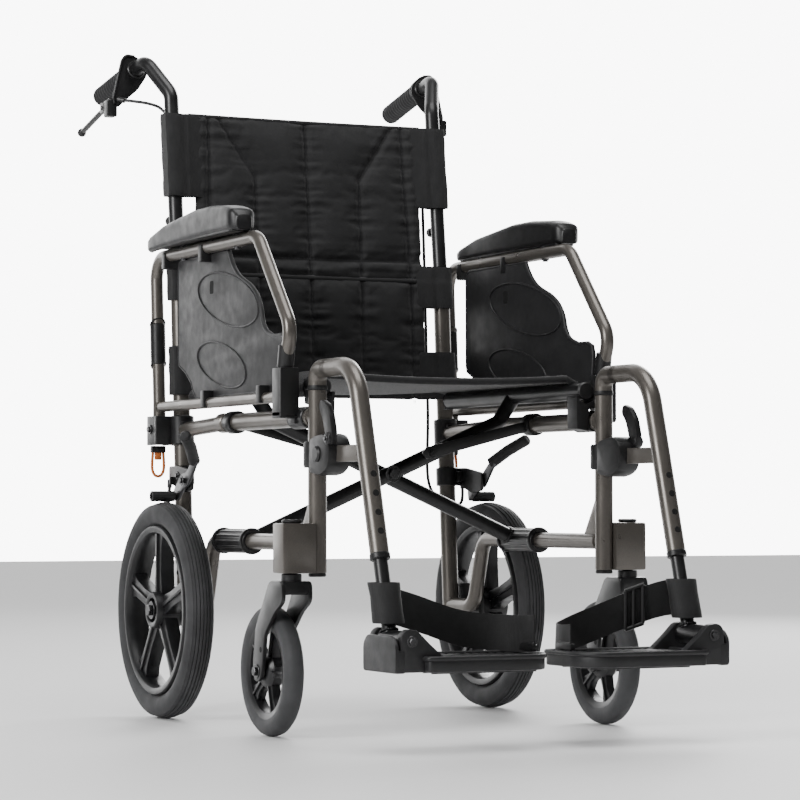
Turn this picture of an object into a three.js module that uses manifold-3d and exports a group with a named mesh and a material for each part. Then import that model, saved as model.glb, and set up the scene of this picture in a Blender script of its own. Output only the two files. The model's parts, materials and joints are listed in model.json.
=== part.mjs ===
// A folding transport wheelchair: two welded side frames joined by a scissor brace, with swing-away
// legrests, flip-back armrests, a half-folding back, castors, large rear wheels and attendant brakes.
// Millimetres, +Z up, the chair faces -Y and +X is its own left. Inside the chair group y is 0 at the
// rear axle; the group then moves so that the origin is under the middle of the whole chair.
import * as THREE from 'three';
import { mergeVertices } from 'three/addons/utils/BufferGeometryUtils.js';
import Module from 'manifold-3d';

// ---- driving dimensions ----
const GAP = 0.4;
const SIDES = 8;                // facets round a tube
const ORIGIN_Y = 211;           // rear axle ahead of the middle of the chair's length
const FRAME_X = 222;            // centre plane of a side frame's tubes
const TUBE = 12.7;              // radius of the main tubes
const SLIM_TUBE = 11.1;         // radius of the back canes and the rail behind the collar
const ARM_X = 248;              // centre plane of an armrest's tubes
const ARM_TUBE = 9.5;
const GUARD_X = 241;            // centre plane of the side panels
const POST_Y = -453;            // front post and castor stem
const POST_TOP = 471.5;
const RAIL_Z = 435;             // upper side rail
const LOWER_RAIL_Z = 264;
const AXLE_Z = 160;             // also the rear wheel's radius
const TYRE_WIDTH = 40;
const WHEEL_X = 270;
const CASTOR_X = 260;
const CASTOR_RADIUS = 89;
const CASTOR_TRAIL = 67.5;
const SEAT_RAIL_X = 205;
const SEAT_RAIL_Z = 478;
const SEAT_RAIL = 12.5;
const BRACE_CENTRE_Z = 361;
const BRACE_TUBE = 11;
const BACK_HINGE = { y: 72, z: 668 };
const ARM_HINGE = { y: 83, z: 430 };
const FOOT_HINGE = { x: 222, z: 143 };
const PARK_PIVOT = { y: -20, z: 352 };

// ---- colours ----
const finish = (color, roughness, metalness) => ({ color, roughness, metalness });
const BRONZE = finish(0x7d7871, 0.38, 0.85);
const BLACK_METAL = finish(0x1b1b1b, 0.45, 0.5);
const BLACK_PLASTIC = finish(0x1d1d1d, 0.55, 0);
const NYLON = finish(0x26262a, 0.9, 0);
const TYRE = finish(0x55565a, 0.85, 0);
const RIM = finish(0x2b2b2d, 0.5, 0.1);
const STEEL = finish(0xb5b5b5, 0.3, 0.9);
const ORANGE = finish(0xe06a1f, 0.6, 0);

// ---- geometry helpers ----
const wasm = await Module();
wasm.setup();
const vec = (x, y, z) => new THREE.Vector3(x, y, z);

// A run of straight lines whose corners are rounded, with stations only where it bends.
class BentPath extends THREE.Curve {
  constructor(corners, radius, arcSteps) {
    super();
    this.stations = [];
    corners.forEach((corner, i) => {
      const into = i > 0 ? corner.clone().sub(corners[i - 1]).normalize() : null;
      const out = i < corners.length - 1 ? corners[i + 1].clone().sub(corner).normalize() : null;
      if (!into || !out) {
        this.stations.push({ point: corner, tangent: into ?? out });
        return;
      }
      this.addArc(corner, into, out, radius, arcSteps);
    });
  }

  addArc(corner, into, out, radius, arcSteps) {
    const turn = into.angleTo(out);
    const start = corner.clone().addScaledVector(into, -radius * Math.tan(turn / 2));
    const inward = out.clone().addScaledVector(into, -out.dot(into)).normalize();
    for (let k = 0; k <= arcSteps; k++) {
      const a = turn * k / arcSteps;
      const point = start.clone()
        .addScaledVector(into, radius * Math.sin(a))
        .addScaledVector(inward, radius * (1 - Math.cos(a)));
      const tangent = into.clone().multiplyScalar(Math.cos(a)).addScaledVector(inward, Math.sin(a));
      this.stations.push({ point, tangent });
    }
  }

  stationAt(u) {
    return this.stations[Math.round(u * (this.stations.length - 1))];
  }

  getPointAt(u) {
    return this.stationAt(u).point.clone();
  }

  getTangentAt(u) {
    return this.stationAt(u).tangent.clone();
  }
}

function circle(radius) {
  return new THREE.Shape().absarc(0, 0, radius, 0, Math.PI * 2);
}

// The radius of a many-sided hole that clears a round bar of the given radius.
const clearing = (radius, sides = SIDES) => (radius + 0.3) / Math.cos(Math.PI / sides);

function tube(corners, radius, { bend = 30, sides = SIDES, arcSteps = 2 } = {}) {
  const path = new BentPath(corners, bend, arcSteps);
  return new THREE.ExtrudeGeometry(circle(radius), {
    steps: path.stations.length - 1, extrudePath: path, bevelEnabled: false, curveSegments: sides / 2,
  });
}

function box(x, y, z) {
  const size = [x, y, z].map(([a, b]) => Math.abs(b - a));
  const middle = [x, y, z].map(([a, b]) => (a + b) / 2);
  return new THREE.BoxGeometry(...size).translate(...middle);
}

// A flat outline in (y, z), given thickness across x.
function plateYZ(shape, x, thickness, curveSegments = 6) {
  const plate = new THREE.ExtrudeGeometry(shape, { depth: thickness, bevelEnabled: false, curveSegments });
  plate.translate(0, 0, -thickness / 2);
  plate.applyMatrix4(new THREE.Matrix4().makeBasis(vec(0, 1, 0), vec(0, 0, 1), vec(1, 0, 0)));
  return plate.translate(x, 0, 0);
}

// A flat outline in (x, z), given thickness along y.
function plateXZ(shape, y, thickness, curveSegments = 6) {
  const plate = new THREE.ExtrudeGeometry(shape, { depth: thickness, bevelEnabled: false, curveSegments });
  return plate.translate(0, 0, -thickness / 2).rotateX(Math.PI / 2).translate(0, y, 0);
}

function outline(points) {
  return new THREE.Shape(points.map(([a, b]) => new THREE.Vector2(a, b)));
}

// A profile of [radius, distance along x] turned about an axis along x.
function turnedX(profile, segments) {
  const points = profile.map(([r, h]) => new THREE.Vector2(r, h));
  return new THREE.LatheGeometry(points, segments).rotateZ(-Math.PI / 2);
}

function toSolid(geometry) {
  const bare = geometry.clone();
  bare.deleteAttribute('normal');
  bare.deleteAttribute('uv');
  const merged = mergeVertices(bare, 1e-3);
  const index = merged.index.array;
  const kept = [];
  for (let i = 0; i < index.length; i += 3) {
    const [a, b, c] = [index[i], index[i + 1], index[i + 2]];
    if (a !== b && b !== c && a !== c) kept.push(a, b, c);
  }
  const solid = new wasm.Manifold(new wasm.Mesh({
    numProp: 3,
    vertProperties: new Float32Array(merged.attributes.position.array),
    triVerts: new Uint32Array(kept),
  }));
  if (solid.volume() > 0) return solid;
  for (let i = 0; i < kept.length; i += 3) [kept[i + 1], kept[i + 2]] = [kept[i + 2], kept[i + 1]];
  return new wasm.Manifold(new wasm.Mesh({
    numProp: 3,
    vertProperties: new Float32Array(merged.attributes.position.array),
    triVerts: new Uint32Array(kept),
  }));
}

function toGeometry(solid) {
  const { vertProperties, triVerts } = solid.getMesh();
  const geometry = new THREE.BufferGeometry();
  geometry.setAttribute('position', new THREE.BufferAttribute(new Float32Array(vertProperties), 3));
  geometry.setIndex(new THREE.BufferAttribute(new Uint32Array(triVerts), 1));
  geometry.computeVertexNormals();
  return geometry;
}

// Joins the pieces into one body, then cuts the tools out of it.
function weld(pieces, tools = []) {
  let solid = toSolid(pieces[0]);
  for (const piece of pieces.slice(1)) solid = solid.add(toSolid(piece));
  for (const tool of tools) solid = solid.subtract(toSolid(tool));
  return toGeometry(solid);
}

const chair = new THREE.Group();
chair.position.y = ORIGIN_Y;

function add(name, geometry, look) {
  const mesh = new THREE.Mesh(geometry, new THREE.MeshStandardMaterial(look));
  mesh.name = name;
  chair.add(mesh);
}

// ---- lines that several pieces share ----
// The rear post leans back a little; the cane above the hinge leans back more.
const rearPost = (side, z) => vec(side * FRAME_X, 36 + 0.0675 * (z - 150), z);
const CANE_SLOPE = 0.1196;
const cane = (side, z) => vec(side * FRAME_X, BACK_HINGE.y + CANE_SLOPE * (z - BACK_HINGE.z), z);
const gripStart = (side) => vec(side * 246, 152, 1000);
const gripEnd = (side) => vec(side * 254.5, 334, 966);
const alongGrip = (side, share) => gripStart(side).lerp(gripEnd(side), share);
// The legrest's lower tube slopes forward as it goes down.
const LEG_SLOPE = 0.3;
const leg = (side, z) => vec(side * FRAME_X, -654.5 + LEG_SLOPE * (z - 247), z);

// ---- side frame ----
function sideFrame(side) {
  const at = (y, z) => vec(side * FRAME_X, y, z);
  const housing = box([side * 230, side * 280], [POST_Y - 19, POST_Y + 19], [223.5, 291]);
  const gusset = plateYZ(outline([[POST_Y, 277], [POST_Y + 52, 268], [POST_Y, 330]]), side * FRAME_X, 8);
  const hingeEar = (offset) => {
    const foot = rearPost(side, 636);
    const { y, z } = BACK_HINGE;
    const shape = outline([[foot.y - 9, 636], [foot.y + 9, 636], [y + 9, z], [y + 5, z + 7], [y - 5, z + 7],
      [y - 9, z]]);
    return plateYZ(shape, side * FRAME_X + offset, 4);
  };
  const hingePin = tube([vec(side * FRAME_X - 7, BACK_HINGE.y, BACK_HINGE.z),
    vec(side * FRAME_X + 7, BACK_HINGE.y, BACK_HINGE.z)], 3.5, { sides: 8 });
  return weld([
    tube([at(POST_Y, POST_TOP), at(POST_Y, 223.5)], TUBE),
    tube([at(POST_Y, RAIL_Z), at(-122, RAIL_Z)], TUBE),
    tube([at(-132, RAIL_Z), at(-110, RAIL_Z)], TUBE + 2),
    tube([at(-122, RAIL_Z), at(rearPost(side, 428).y, 428)], SLIM_TUBE),
    tube([at(POST_Y, LOWER_RAIL_Z), at(-78, LOWER_RAIL_Z), at(-44, AXLE_Z),
      at(rearPost(side, AXLE_Z).y, AXLE_Z)], SLIM_TUBE, { bend: 28 }),
    tube([rearPost(side, 146), rearPost(side, 644)], TUBE),
    housing, gusset, hingeEar(-6.6), hingeEar(6.6), hingePin,
  ], [
    tube([vec(side * CASTOR_X, POST_Y, 200), vec(side * CASTOR_X, POST_Y, 284)], 8.5, { sides: 16 }),
  ]);
}

function axleHousing(side) {
  const plate = outline([[-32, 138], [44, 138], [52, 150], [52, 180], [38, 192], [-22, 192], [-32, 182]]);
  return weld([
    plateYZ(plate, side * 240.5, 10),
    tube([vec(side * 240, 0, AXLE_Z), vec(side * 295, 0, AXLE_Z)], 6, { sides: 10 }),
    tube([vec(side * 292.5, 0, AXLE_Z), vec(side * 298, 0, AXLE_Z)], 11, { sides: 12 }),
  ]);
}

// ---- wheels ----
function rearTyre(side) {
  const half = TYRE_WIDTH / 2;
  const profile = [[127, -14], [131, -half + 2], [141, -half], [152, -half + 3], [AXLE_Z, -half + 10],
    [AXLE_Z, half - 10], [152, half - 3], [141, half], [131, half - 2], [127, 14], [127, -14]];
  return weld([turnedX(profile, 26).translate(side * WHEEL_X, 0, AXLE_Z)]);
}

function rearRim(side) {
  const ring = [[112, -15], [118, -18], [126.5, -14], [126.5, 14], [118, 18], [112, 15], [112, -15]];
  const hub = [[0, -19], [24, -19], [30, -12], [30, 12], [24, 19], [0, 19]];
  const spokeShape = outline([[22, -15], [60, -11], [115, -17], [115, 17], [60, 11], [22, 15]]);
  const spokes = Array.from({ length: 5 }, (_, k) => (
    plateYZ(spokeShape, 0, 16).rotateX(Math.PI / 2 + k * Math.PI * 2 / 5)));
  const bore = tube([vec(-30, 0, 0), vec(30, 0, 0)], 6.4, { sides: 10 });
  return weld([turnedX(ring, 26), turnedX(hub, 16), ...spokes], [bore])
    .translate(side * WHEEL_X, 0, AXLE_Z);
}

function castorWheel(side) {
  const profile = [[6.8, -14], [20, -14], [64, -9], [72, -13], [CASTOR_RADIUS, -7], [CASTOR_RADIUS, 7],
    [72, 13], [64, 9], [20, 14], [6.8, 14], [6.8, -14]];
  const gap = outline([[27, -7], [52, -21], [57, -8], [57, 8], [52, 21], [27, 7]]);
  const gaps = Array.from({ length: 5 }, (_, k) => plateYZ(gap, 0, 40).rotateX(k * Math.PI * 2 / 5));
  return weld([turnedX(profile, 24)], gaps)
    .translate(side * CASTOR_X, POST_Y + CASTOR_TRAIL, CASTOR_RADIUS);
}

function castorFork(side) {
  const axleY = POST_Y + CASTOR_TRAIL;
  const legShape = outline([[POST_Y - 20, 184], [POST_Y - 17, 213], [POST_Y + 24, 213], [POST_Y + 40, 190],
    [axleY + 4, 150], [axleY + 15, 92], [axleY + 8, 76], [axleY - 8, 76], [axleY - 16, 88],
    [axleY - 26, 140]]);
  const axle = [-26, 26].map((reach) => vec(side * CASTOR_X + reach, axleY, CASTOR_RADIUS));
  return weld([
    plateYZ(legShape, side * CASTOR_X - 19.5, 6),
    plateYZ(legShape, side * CASTOR_X + 19.5, 6),
    box([side * CASTOR_X - 19.5, side * CASTOR_X + 19.5], [POST_Y - 17, POST_Y + 25], [196, 213]),
    tube([vec(side * CASTOR_X, POST_Y, 205), vec(side * CASTOR_X, POST_Y, 222.5)], 14),
    tube([vec(side * CASTOR_X, POST_Y, 205), vec(side * CASTOR_X, POST_Y, 283)], 8),
    tube(axle, 6, { sides: 10 }),
  ]);
}

// ---- scissor brace and seat ----
// Each arm turns on one lower rail, crosses the middle, and carries the seat rail of the other side.
function braceArm(side, y, sleeveY) {
  const slope = (BRACE_CENTRE_Z - LOWER_RAIL_Z) / FRAME_X;
  const knee = 178;
  const corners = [
    vec(side * FRAME_X, y, LOWER_RAIL_Z),
    vec(-side * knee, y, BRACE_CENTRE_Z + slope * knee),
    vec(-side * SEAT_RAIL_X, y, SEAT_RAIL_Z),
  ];
  const along = (x, z, [from, to]) => [vec(x, from, z), vec(x, to, z)];
  return weld([
    tube(corners, BRACE_TUBE, { bend: 14 }),
    tube(along(side * FRAME_X, LOWER_RAIL_Z, sleeveY), 16),
    tube(along(-side * SEAT_RAIL_X, SEAT_RAIL_Z, [-433, 5]), SEAT_RAIL),
  ], [
    tube(along(side * FRAME_X, LOWER_RAIL_Z, [-300, -50]), clearing(SLIM_TUBE)),
    tube(along(0, BRACE_CENTRE_Z, [-260, -140]), 5.4, { sides: 10 }),
  ]);
}

const ARM_A_Y = -212;
const ARM_B_Y = -184;

function braceBolt() {
  const along = (from, to) => [vec(0, from, BRACE_CENTRE_Z), vec(0, to, BRACE_CENTRE_Z)];
  const outside = BRACE_TUBE + 0.5;
  return weld([
    tube(along(ARM_A_Y - outside - 6, ARM_B_Y + outside + 6), 5, { sides: 10 }),
    tube(along(ARM_A_Y - outside - 6, ARM_A_Y - outside), 9, { sides: 6 }),
    tube(along(ARM_B_Y + outside, ARM_B_Y + outside + 6), 9, { sides: 6 }),
  ]);
}

// A strut that turns on the upper rail; its inner end stands free beside the arm.
function braceLink(side, y, sleeveY) {
  const bar = outline([[side * FRAME_X, RAIL_Z - 8], [side * FRAME_X, RAIL_Z + 8], [side * 48, 399],
    [side * 40, 391], [side * 48, 383]]);
  return weld([
    plateXZ(bar, y, 5),
    tube([vec(side * FRAME_X, sleeveY[0], RAIL_Z), vec(side * FRAME_X, sleeveY[1], RAIL_Z)], 16.5),
  ], [tube([vec(side * FRAME_X, -300, RAIL_Z), vec(side * FRAME_X, -130, RAIL_Z)], clearing(TUBE))]);
}

function seatSaddle(side) {
  const through = (x, z) => [vec(side * x, -460, z), vec(side * x, -400, z)];
  return weld([box([side * 188, side * 227], [-436, -406], [420, 474])], [
    tube(through(FRAME_X, RAIL_Z), clearing(TUBE)),
    tube(through(SEAT_RAIL_X, SEAT_RAIL_Z), clearing(SEAT_RAIL) + 0.5),
    box([side * 180, side * (SEAT_RAIL_X - 4)], [-460, -400], [468, 480]),
  ]);
}

function seatCover() {
  const top = 503;
  const side = outline([[-395, 491.2], [36, 491.2], [36, top], [-385, top], [-395, 499]]);
  return weld([plateYZ(side, 0, 436)]);
}

// ---- back ----
// A sleeve on each post joined by a web, as a prism that follows the posts' lean.
function backCover(line, bottom, top, sleeveBottom, sleeveTop) {
  const prism = (shape, from, to) => {
    const [low, high] = [line(0, from), line(0, to)].map((p) => vec(0, p.y, p.z));
    const slab = new THREE.ExtrudeGeometry(shape, { depth: 1, bevelEnabled: false, curveSegments: 6 });
    const shear = new THREE.Matrix4().set(1, 0, 0, 0, 0, 1, high.y - low.y, low.y,
      0, 0, high.z - low.z, low.z, 0, 0, 0, 1);
    return slab.applyMatrix4(shear);
  };
  const ring = (x, radius) => new THREE.Shape().absarc(x, 0, radius, 0, Math.PI * 2);
  const web = outline([[-208, -9], [208, -9], [208, 5], [-208, 5]]);
  const sleeves = [-FRAME_X, FRAME_X].map((x) => prism(ring(x, 15.4), sleeveBottom, sleeveTop));
  const beyond = 20;
  const posts = [-FRAME_X, FRAME_X].map((x) => (
    prism(ring(x, clearing(TUBE)), sleeveBottom - beyond, sleeveTop + beyond)));
  return weld([prism(web, bottom, top), ...sleeves], posts);
}

function upperCane(side) {
  const foot = cane(side, BACK_HINGE.z + 24);
  const hinge = { y: BACK_HINGE.y, z: BACK_HINGE.z };
  const tongue = outline([[foot.y - 8, foot.z + 6], [foot.y + 8, foot.z + 6], [hinge.y + 8, hinge.z],
    [hinge.y + 4, hinge.z - 7], [hinge.y - 4, hinge.z - 7], [hinge.y - 8, hinge.z]]);
  const knobHole = cane(side, 750);
  return weld([
    tube([foot, cane(side, 945), gripStart(side), alongGrip(side, 0.96)], SLIM_TUBE, { bend: 26 }),
    plateYZ(tongue, side * FRAME_X, 8),
  ], [
    tube([-8, 8].map((reach) => vec(side * FRAME_X + reach, hinge.y, hinge.z)), 3.9, { sides: 10 }),
    tube([vec(knobHole.x, knobHole.y + 2, 750), vec(knobHole.x, knobHole.y + 30, 750)], 4, { sides: 8 }),
  ]);
}

function backKnob(side) {
  const centre = cane(side, 750);
  return weld([
    tube([vec(centre.x, centre.y + 5, 750), vec(centre.x, centre.y + 22, 750)], 3.5, { sides: 8 }),
    tube([vec(centre.x, centre.y + 17.5, 750), vec(centre.x, centre.y + 29, 750)], 7.5, { sides: 10 }),
  ]);
}

function grip(side) {
  const sleeve = tube([alongGrip(side, 0.272), alongGrip(side, 1)], 16);
  return weld([sleeve], [tube([alongGrip(side, 0.2), alongGrip(side, 0.965)], clearing(SLIM_TUBE))]);
}

// The hand brake hangs outboard of the grip, from a fan-shaped guard across the grip's root.
const LEVER_X = 285;
const LEVER_PIVOT = { y: 222, z: 934 };
const LEVER_TIP = { y: 337, z: 909 };
const GUARD_Y = 195;

function leverBracket(side) {
  const out = (a, b) => [side * (LEVER_X + a), side * (LEVER_X + b)];
  const fan = outline([[232, 1000], [246, 1014], [262, 1016], [270, 1008], [284, 948], [283, 938],
    [276, 933], [266, 944], [243, 963], [229, 985]].map(([x, z]) => [side * x, z]));
  const { y, z } = LEVER_PIVOT;
  return weld([
    tube([alongGrip(side, 0.2), alongGrip(side, 0.262)], 14.5),
    plateXZ(fan, GUARD_Y, 5),
    box(out(-8, 8), [GUARD_Y, y - 8], [918, 944]),
    box(out(-8, -4.6), [GUARD_Y, y + 8], [z - 8, z + 8]),
    box(out(4.6, 8), [GUARD_Y, y + 8], [z - 8, z + 8]),
    tube(out(-8, 8).map((x) => vec(x, y, z)), 3.5, { sides: 8 }),
  ], [tube([alongGrip(side, 0), alongGrip(side, 0.32)], clearing(SLIM_TUBE))]);
}

function brakeLever(side) {
  const { y, z } = LEVER_PIVOT;
  const x = side * LEVER_X;
  const pin = (reach) => [vec(x - reach, y, z), vec(x + reach, y, z)];
  const tip = vec(x, LEVER_TIP.y, LEVER_TIP.z);
  return weld([
    tube(pin(4), 7, { sides: 12 }),
    tube([vec(x, y + 3, z), vec(x, 252, 929), tip], 4, { bend: 30, sides: 8 }),
    new THREE.SphereGeometry(7, 8, 6).translate(tip.x, tip.y, tip.z),
  ], [tube(pin(15), 3.9, { sides: 10 })]);
}

// The cable leaves the bracket, goes down behind the back and ends in the parking brake's stop.
function brakeCable(side) {
  const route = [[273, 189.5, 944], [240, 152, 935], [226, 128, 922], [210, 120, 892], [205, 96, 690],
    [205, 84, 470], [207, 84, 350], [242, 78, 318], [246, 46, 318], [246, 43, 352]];
  return weld([tube(route.map(([x, y, z]) => vec(side * x, y, z)), 2.5, { bend: 18, sides: 8 })]);
}

// ---- armrest ----
function armFrame(side) {
  const at = (y, z) => vec(side * ARM_X, y, z);
  const pin = [-20, 20].map((reach) => vec(side * ARM_X + reach, ARM_HINGE.y, ARM_HINGE.z));
  return weld([
    tube([at(ARM_HINGE.y, 420), at(ARM_HINGE.y, 470), at(96, 660), at(94, 691), at(-305, 692),
      at(-424, 556), at(-405, 515), at(-402, 455)], ARM_TUBE, { bend: 22 }),
    tube([at(ARM_HINGE.y, 464), at(-403, 464)], ARM_TUBE - 1.5),
  ], [tube(pin, 3.9, { sides: 10 })]);
}

function armPad(side) {
  const profile = outline([[-280, 703], [-283, 716], [-278, 730], [-255, 738], [-190, 743], [-130, 743],
    [-8, 731], [50, 718], [66, 703]]);
  return weld([plateYZ(profile, side * 260, 38)]);
}

// The panel lies against the inner faces of the armrest's tubes.
function sideGuard(side) {
  const shape = new THREE.Shape();
  shape.moveTo(-388, 473);
  shape.lineTo(-58, 473);
  shape.lineTo(-37, 497);
  shape.lineTo(14, 526);
  shape.lineTo(16, 668);
  shape.quadraticCurveTo(16, 681, 4, 681);
  shape.lineTo(-181, 681);
  shape.bezierCurveTo(-205, 640, -262, 632, -290, 608);
  shape.bezierCurveTo(-312, 588, -296, 554, -350, 550);
  shape.lineTo(-376, 550);
  shape.quadraticCurveTo(-390, 548, -390, 532);
  return weld([plateYZ(shape, side * GUARD_X, 5.6, 5)]);
}

function armClamp(side) {
  const out = (a, b) => [side * a, side * b];
  const post = [rearPost(side, 380), rearPost(side, 480)];
  return weld([
    tube([rearPost(side, 406), rearPost(side, 450)], 18),
    box(out(230, 262), [58, 66], [406, 450]),
    box(out(234, 238), [58, 97], [406, 450]),
    box(out(258, 262), [58, 97], [406, 450]),
    tube([234, 264].map((x) => vec(side * x, ARM_HINGE.y, ARM_HINGE.z)), 3.5, { sides: 8 }),
  ], [
    tube(post, clearing(TUBE)),
    tube([vec(side * FRAME_X, -122, RAIL_Z), rearPost(side, 428)], clearing(SLIM_TUBE)),
  ]);
}

function armRelease(side) {
  const loop = outline([[-11, 400], [-11, 367], [-5, 358], [5, 358], [11, 367], [11, 400]]);
  loop.holes.push(new THREE.Path([[-7, 394], [-7, 369], [-3, 363], [3, 363], [7, 369], [7, 394]]
    .map(([a, b]) => new THREE.Vector2(a, b))));
  return weld([
    plateXZ(loop, 88, 4).translate(side * ARM_X, 0, 0),
    box([side * ARM_X - 11, side * ARM_X + 11], [84, 92], [396, 405]),
  ]);
}

function armSocket(side) {
  return weld([box([side * 235.2, side * 262], [-418, -390], [438, 500])],
    [box([side * 238, side * 258], [-415.5, -380], [444, 520])]);
}

// ---- legrest ----
function hanger(side) {
  const at = (y, z) => vec(side * FRAME_X, y, z);
  const drop = leg(side, 247);
  return weld([
    tube([at(POST_Y, POST_TOP + GAP), at(POST_Y, 500), at(-578, 500), drop], TUBE, { bend: 26, arcSteps: 3 }),
    tube([at(POST_Y, 372), at(POST_Y, 396)], 18),
    box([side * FRAME_X - 5, side * FRAME_X + 5], [-605, POST_Y], [373, 395]),
  ], [
    tube([leg(side, 200), leg(side, 352)], clearing(ARM_TUBE)),
    tube([at(POST_Y, 360), at(POST_Y, 410)], clearing(TUBE)),
  ]);
}

function hangerLatch(side) {
  const shape = new THREE.Shape();
  shape.moveTo(-530, 398);
  shape.lineTo(-518, 398);
  shape.quadraticCurveTo(-508, 428, -490, 446);
  shape.lineTo(-498, 456);
  shape.quadraticCurveTo(-530, 446, -534, 410);
  return weld([
    plateYZ(shape, side * FRAME_X + side * 11, 9),
    tube([vec(side * 228, -524, 404), vec(side * 240, -524, 404)], 8),
  ]);
}

const footHinge = (side, from, to) => [from, to].map((y) => vec(side * FOOT_HINGE.x, y, FOOT_HINGE.z));

// The inner tube, with the barrel of the footplate's hinge and the hinge's pin on its lower end.
function legExtension(side) {
  const low = leg(side, 150);
  return weld([
    tube([leg(side, 325), low], ARM_TUBE),
    tube(footHinge(side, -735, -668), 13),
    tube(footHinge(side, -748, -655), 5, { sides: 10 }),
  ]);
}

function footplate(side) {
  const plan = new THREE.Shape();
  plan.moveTo(side * 196, -655);
  plan.lineTo(side * 36, -645);
  plan.quadraticCurveTo(side * 20, -645, side * 20, -662);
  plan.lineTo(side * 24, -735);
  plan.quadraticCurveTo(side * 26, -762, side * 60, -764);
  plan.lineTo(side * 196, -764);
  const plate = new THREE.ExtrudeGeometry(plan, { depth: 25, bevelEnabled: false, curveSegments: 4 });
  plate.translate(0, 0, 101);
  const along = (from, to) => footHinge(side, from, to);
  const cheek = (from, to) => box([side * 196, side * FOOT_HINGE.x], [from, to], [104, FOOT_HINGE.z]);
  const bevel = plateXZ(outline([[side * 10, 116], [side * 10, 90], [side * 62, 90]]), -700, 160);
  const span = (from, to) => box([side * 160, side * 204], [from, to], [104, 132]);
  return weld([
    plate,
    tube(along(-750, -736), 14), tube(along(-667, -653), 14),
    cheek(-750, -736), cheek(-667, -653),
    span(-750, -736), span(-667, -653),
  ], [
    bevel,
    tube(along(-760, -640), 5.4, { sides: 10 }),
    tube(along(-735.6, -667.4), 13.6, { sides: 16 }),
  ]);
}

// Webbing from a sleeve round the inner tube, behind the heel, down to the footplate's inner end.
function heelStrap(side) {
  const band = [[222, -652], [150, -632], [90, -628], [44, -640], [28, -668], [28, -712], [31, -712],
    [31, -668], [46, -643], [91, -631], [150, -635], [222, -655]];
  const tall = (depth) => ({ depth, bevelEnabled: false, curveSegments: 6 });
  const ribbon = new THREE.ExtrudeGeometry(outline(band.map(([x, y]) => [side * x, y])), tall(42));
  const round = new THREE.Shape().absarc(side * FRAME_X, -673, 21, 0, Math.PI * 2);
  const sleeve = new THREE.ExtrudeGeometry(round, tall(48));
  return weld([
    ribbon.translate(0, 0, 158), sleeve.translate(0, 0, 166),
    box([side * 28, side * 31], [-712, -672], [126.5, 180]),
  ], [tube([leg(side, 130), leg(side, 240)], clearing(ARM_TUBE))]);
}

// ---- parking brake ----
function brakeBracket(side) {
  const plate = outline([[-37, 338], [-5, 334], [40, 346], [56, 346], [56, 374], [20, 374], [-37, 366]]);
  const post = [rearPost(side, 330), rearPost(side, 390)];
  return weld([
    tube([rearPost(side, 346), rearPost(side, 374)], 17),
    plateYZ(plate, side * 240.4, 4.8),
    box([side * 238, side * 249], [33, 39.5], [346, 358]),
    tube([240, 251].map((x) => vec(side * x, PARK_PIVOT.y, PARK_PIVOT.z)), 4, { sides: 8 }),
  ], [tube(post, clearing(TUBE))]);
}

function parkingLever(side) {
  const bar = outline([[19, 322], [22, 338], [-11, 362], [-29, 364], [-62, 388], [-70, 379], [-35, 344],
    [-19, 340], [8, 322]]);
  const x = side * 245.9;
  return weld([
    plateYZ(bar, x, 5),
    tube([vec(x - side * 2.4, 15, 328.7), vec(side * 286, 15, 328.7)], 7.5),
    tube([vec(x, -58, 381), vec(side * 280, -107, 415)], 9),
  ], [tube([235, 260].map((reach) => vec(side * reach, PARK_PIVOT.y, PARK_PIVOT.z)), 4.4, { sides: 10 })]);
}

// ---- the chair ----
for (const [side, tag] of [[-1, 'r'], [1, 'l']]) {
  add(`side_frame_${tag}`, sideFrame(side), BRONZE);
  add(`axle_housing_${tag}`, axleHousing(side), BLACK_METAL);
  add(`rear_tyre_${tag}`, rearTyre(side), TYRE);
  add(`rear_rim_${tag}`, rearRim(side), RIM);
  add(`castor_fork_${tag}`, castorFork(side), BLACK_METAL);
  add(`castor_wheel_${tag}`, castorWheel(side), TYRE);
  add(`seat_saddle_${tag}`, seatSaddle(side), BLACK_PLASTIC);
  add(`upper_cane_${tag}`, upperCane(side), BLACK_METAL);
  add(`back_knob_${tag}`, backKnob(side), BLACK_PLASTIC);
  add(`grip_${tag}`, grip(side), BLACK_PLASTIC);
  add(`lever_bracket_${tag}`, leverBracket(side), BLACK_METAL);
  add(`brake_lever_${tag}`, brakeLever(side), BLACK_METAL);
  add(`brake_cable_${tag}`, brakeCable(side), BLACK_PLASTIC);
  add(`arm_frame_${tag}`, armFrame(side), BRONZE);
  add(`arm_pad_${tag}`, armPad(side), BLACK_PLASTIC);
  add(`side_guard_${tag}`, sideGuard(side), BLACK_PLASTIC);
  add(`arm_clamp_${tag}`, armClamp(side), BLACK_PLASTIC);
  add(`arm_release_${tag}`, armRelease(side), ORANGE);
  add(`arm_socket_${tag}`, armSocket(side), BLACK_PLASTIC);
  add(`hanger_${tag}`, hanger(side), BRONZE);
  add(`hanger_latch_${tag}`, hangerLatch(side), BLACK_PLASTIC);
  add(`leg_extension_${tag}`, legExtension(side), BLACK_METAL);
  add(`footplate_${tag}`, footplate(side), BLACK_PLASTIC);
  add(`heel_strap_${tag}`, heelStrap(side), NYLON);
  add(`brake_bracket_${tag}`, brakeBracket(side), BLACK_METAL);
  add(`parking_lever_${tag}`, parkingLever(side), STEEL);
}
add('brace_arm_a', braceArm(-1, ARM_A_Y, [-225, -112]), BLACK_METAL);
add('brace_arm_b', braceArm(1, ARM_B_Y, [-260, -154]), BLACK_METAL);
add('brace_bolt', braceBolt(), STEEL);
add('brace_link_l', braceLink(1, -240, [-250, -227]), BLACK_METAL);
add('brace_link_r', braceLink(-1, -160, [-170, -146]), BLACK_METAL);
add('seat_cover', seatCover(), NYLON);
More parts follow.
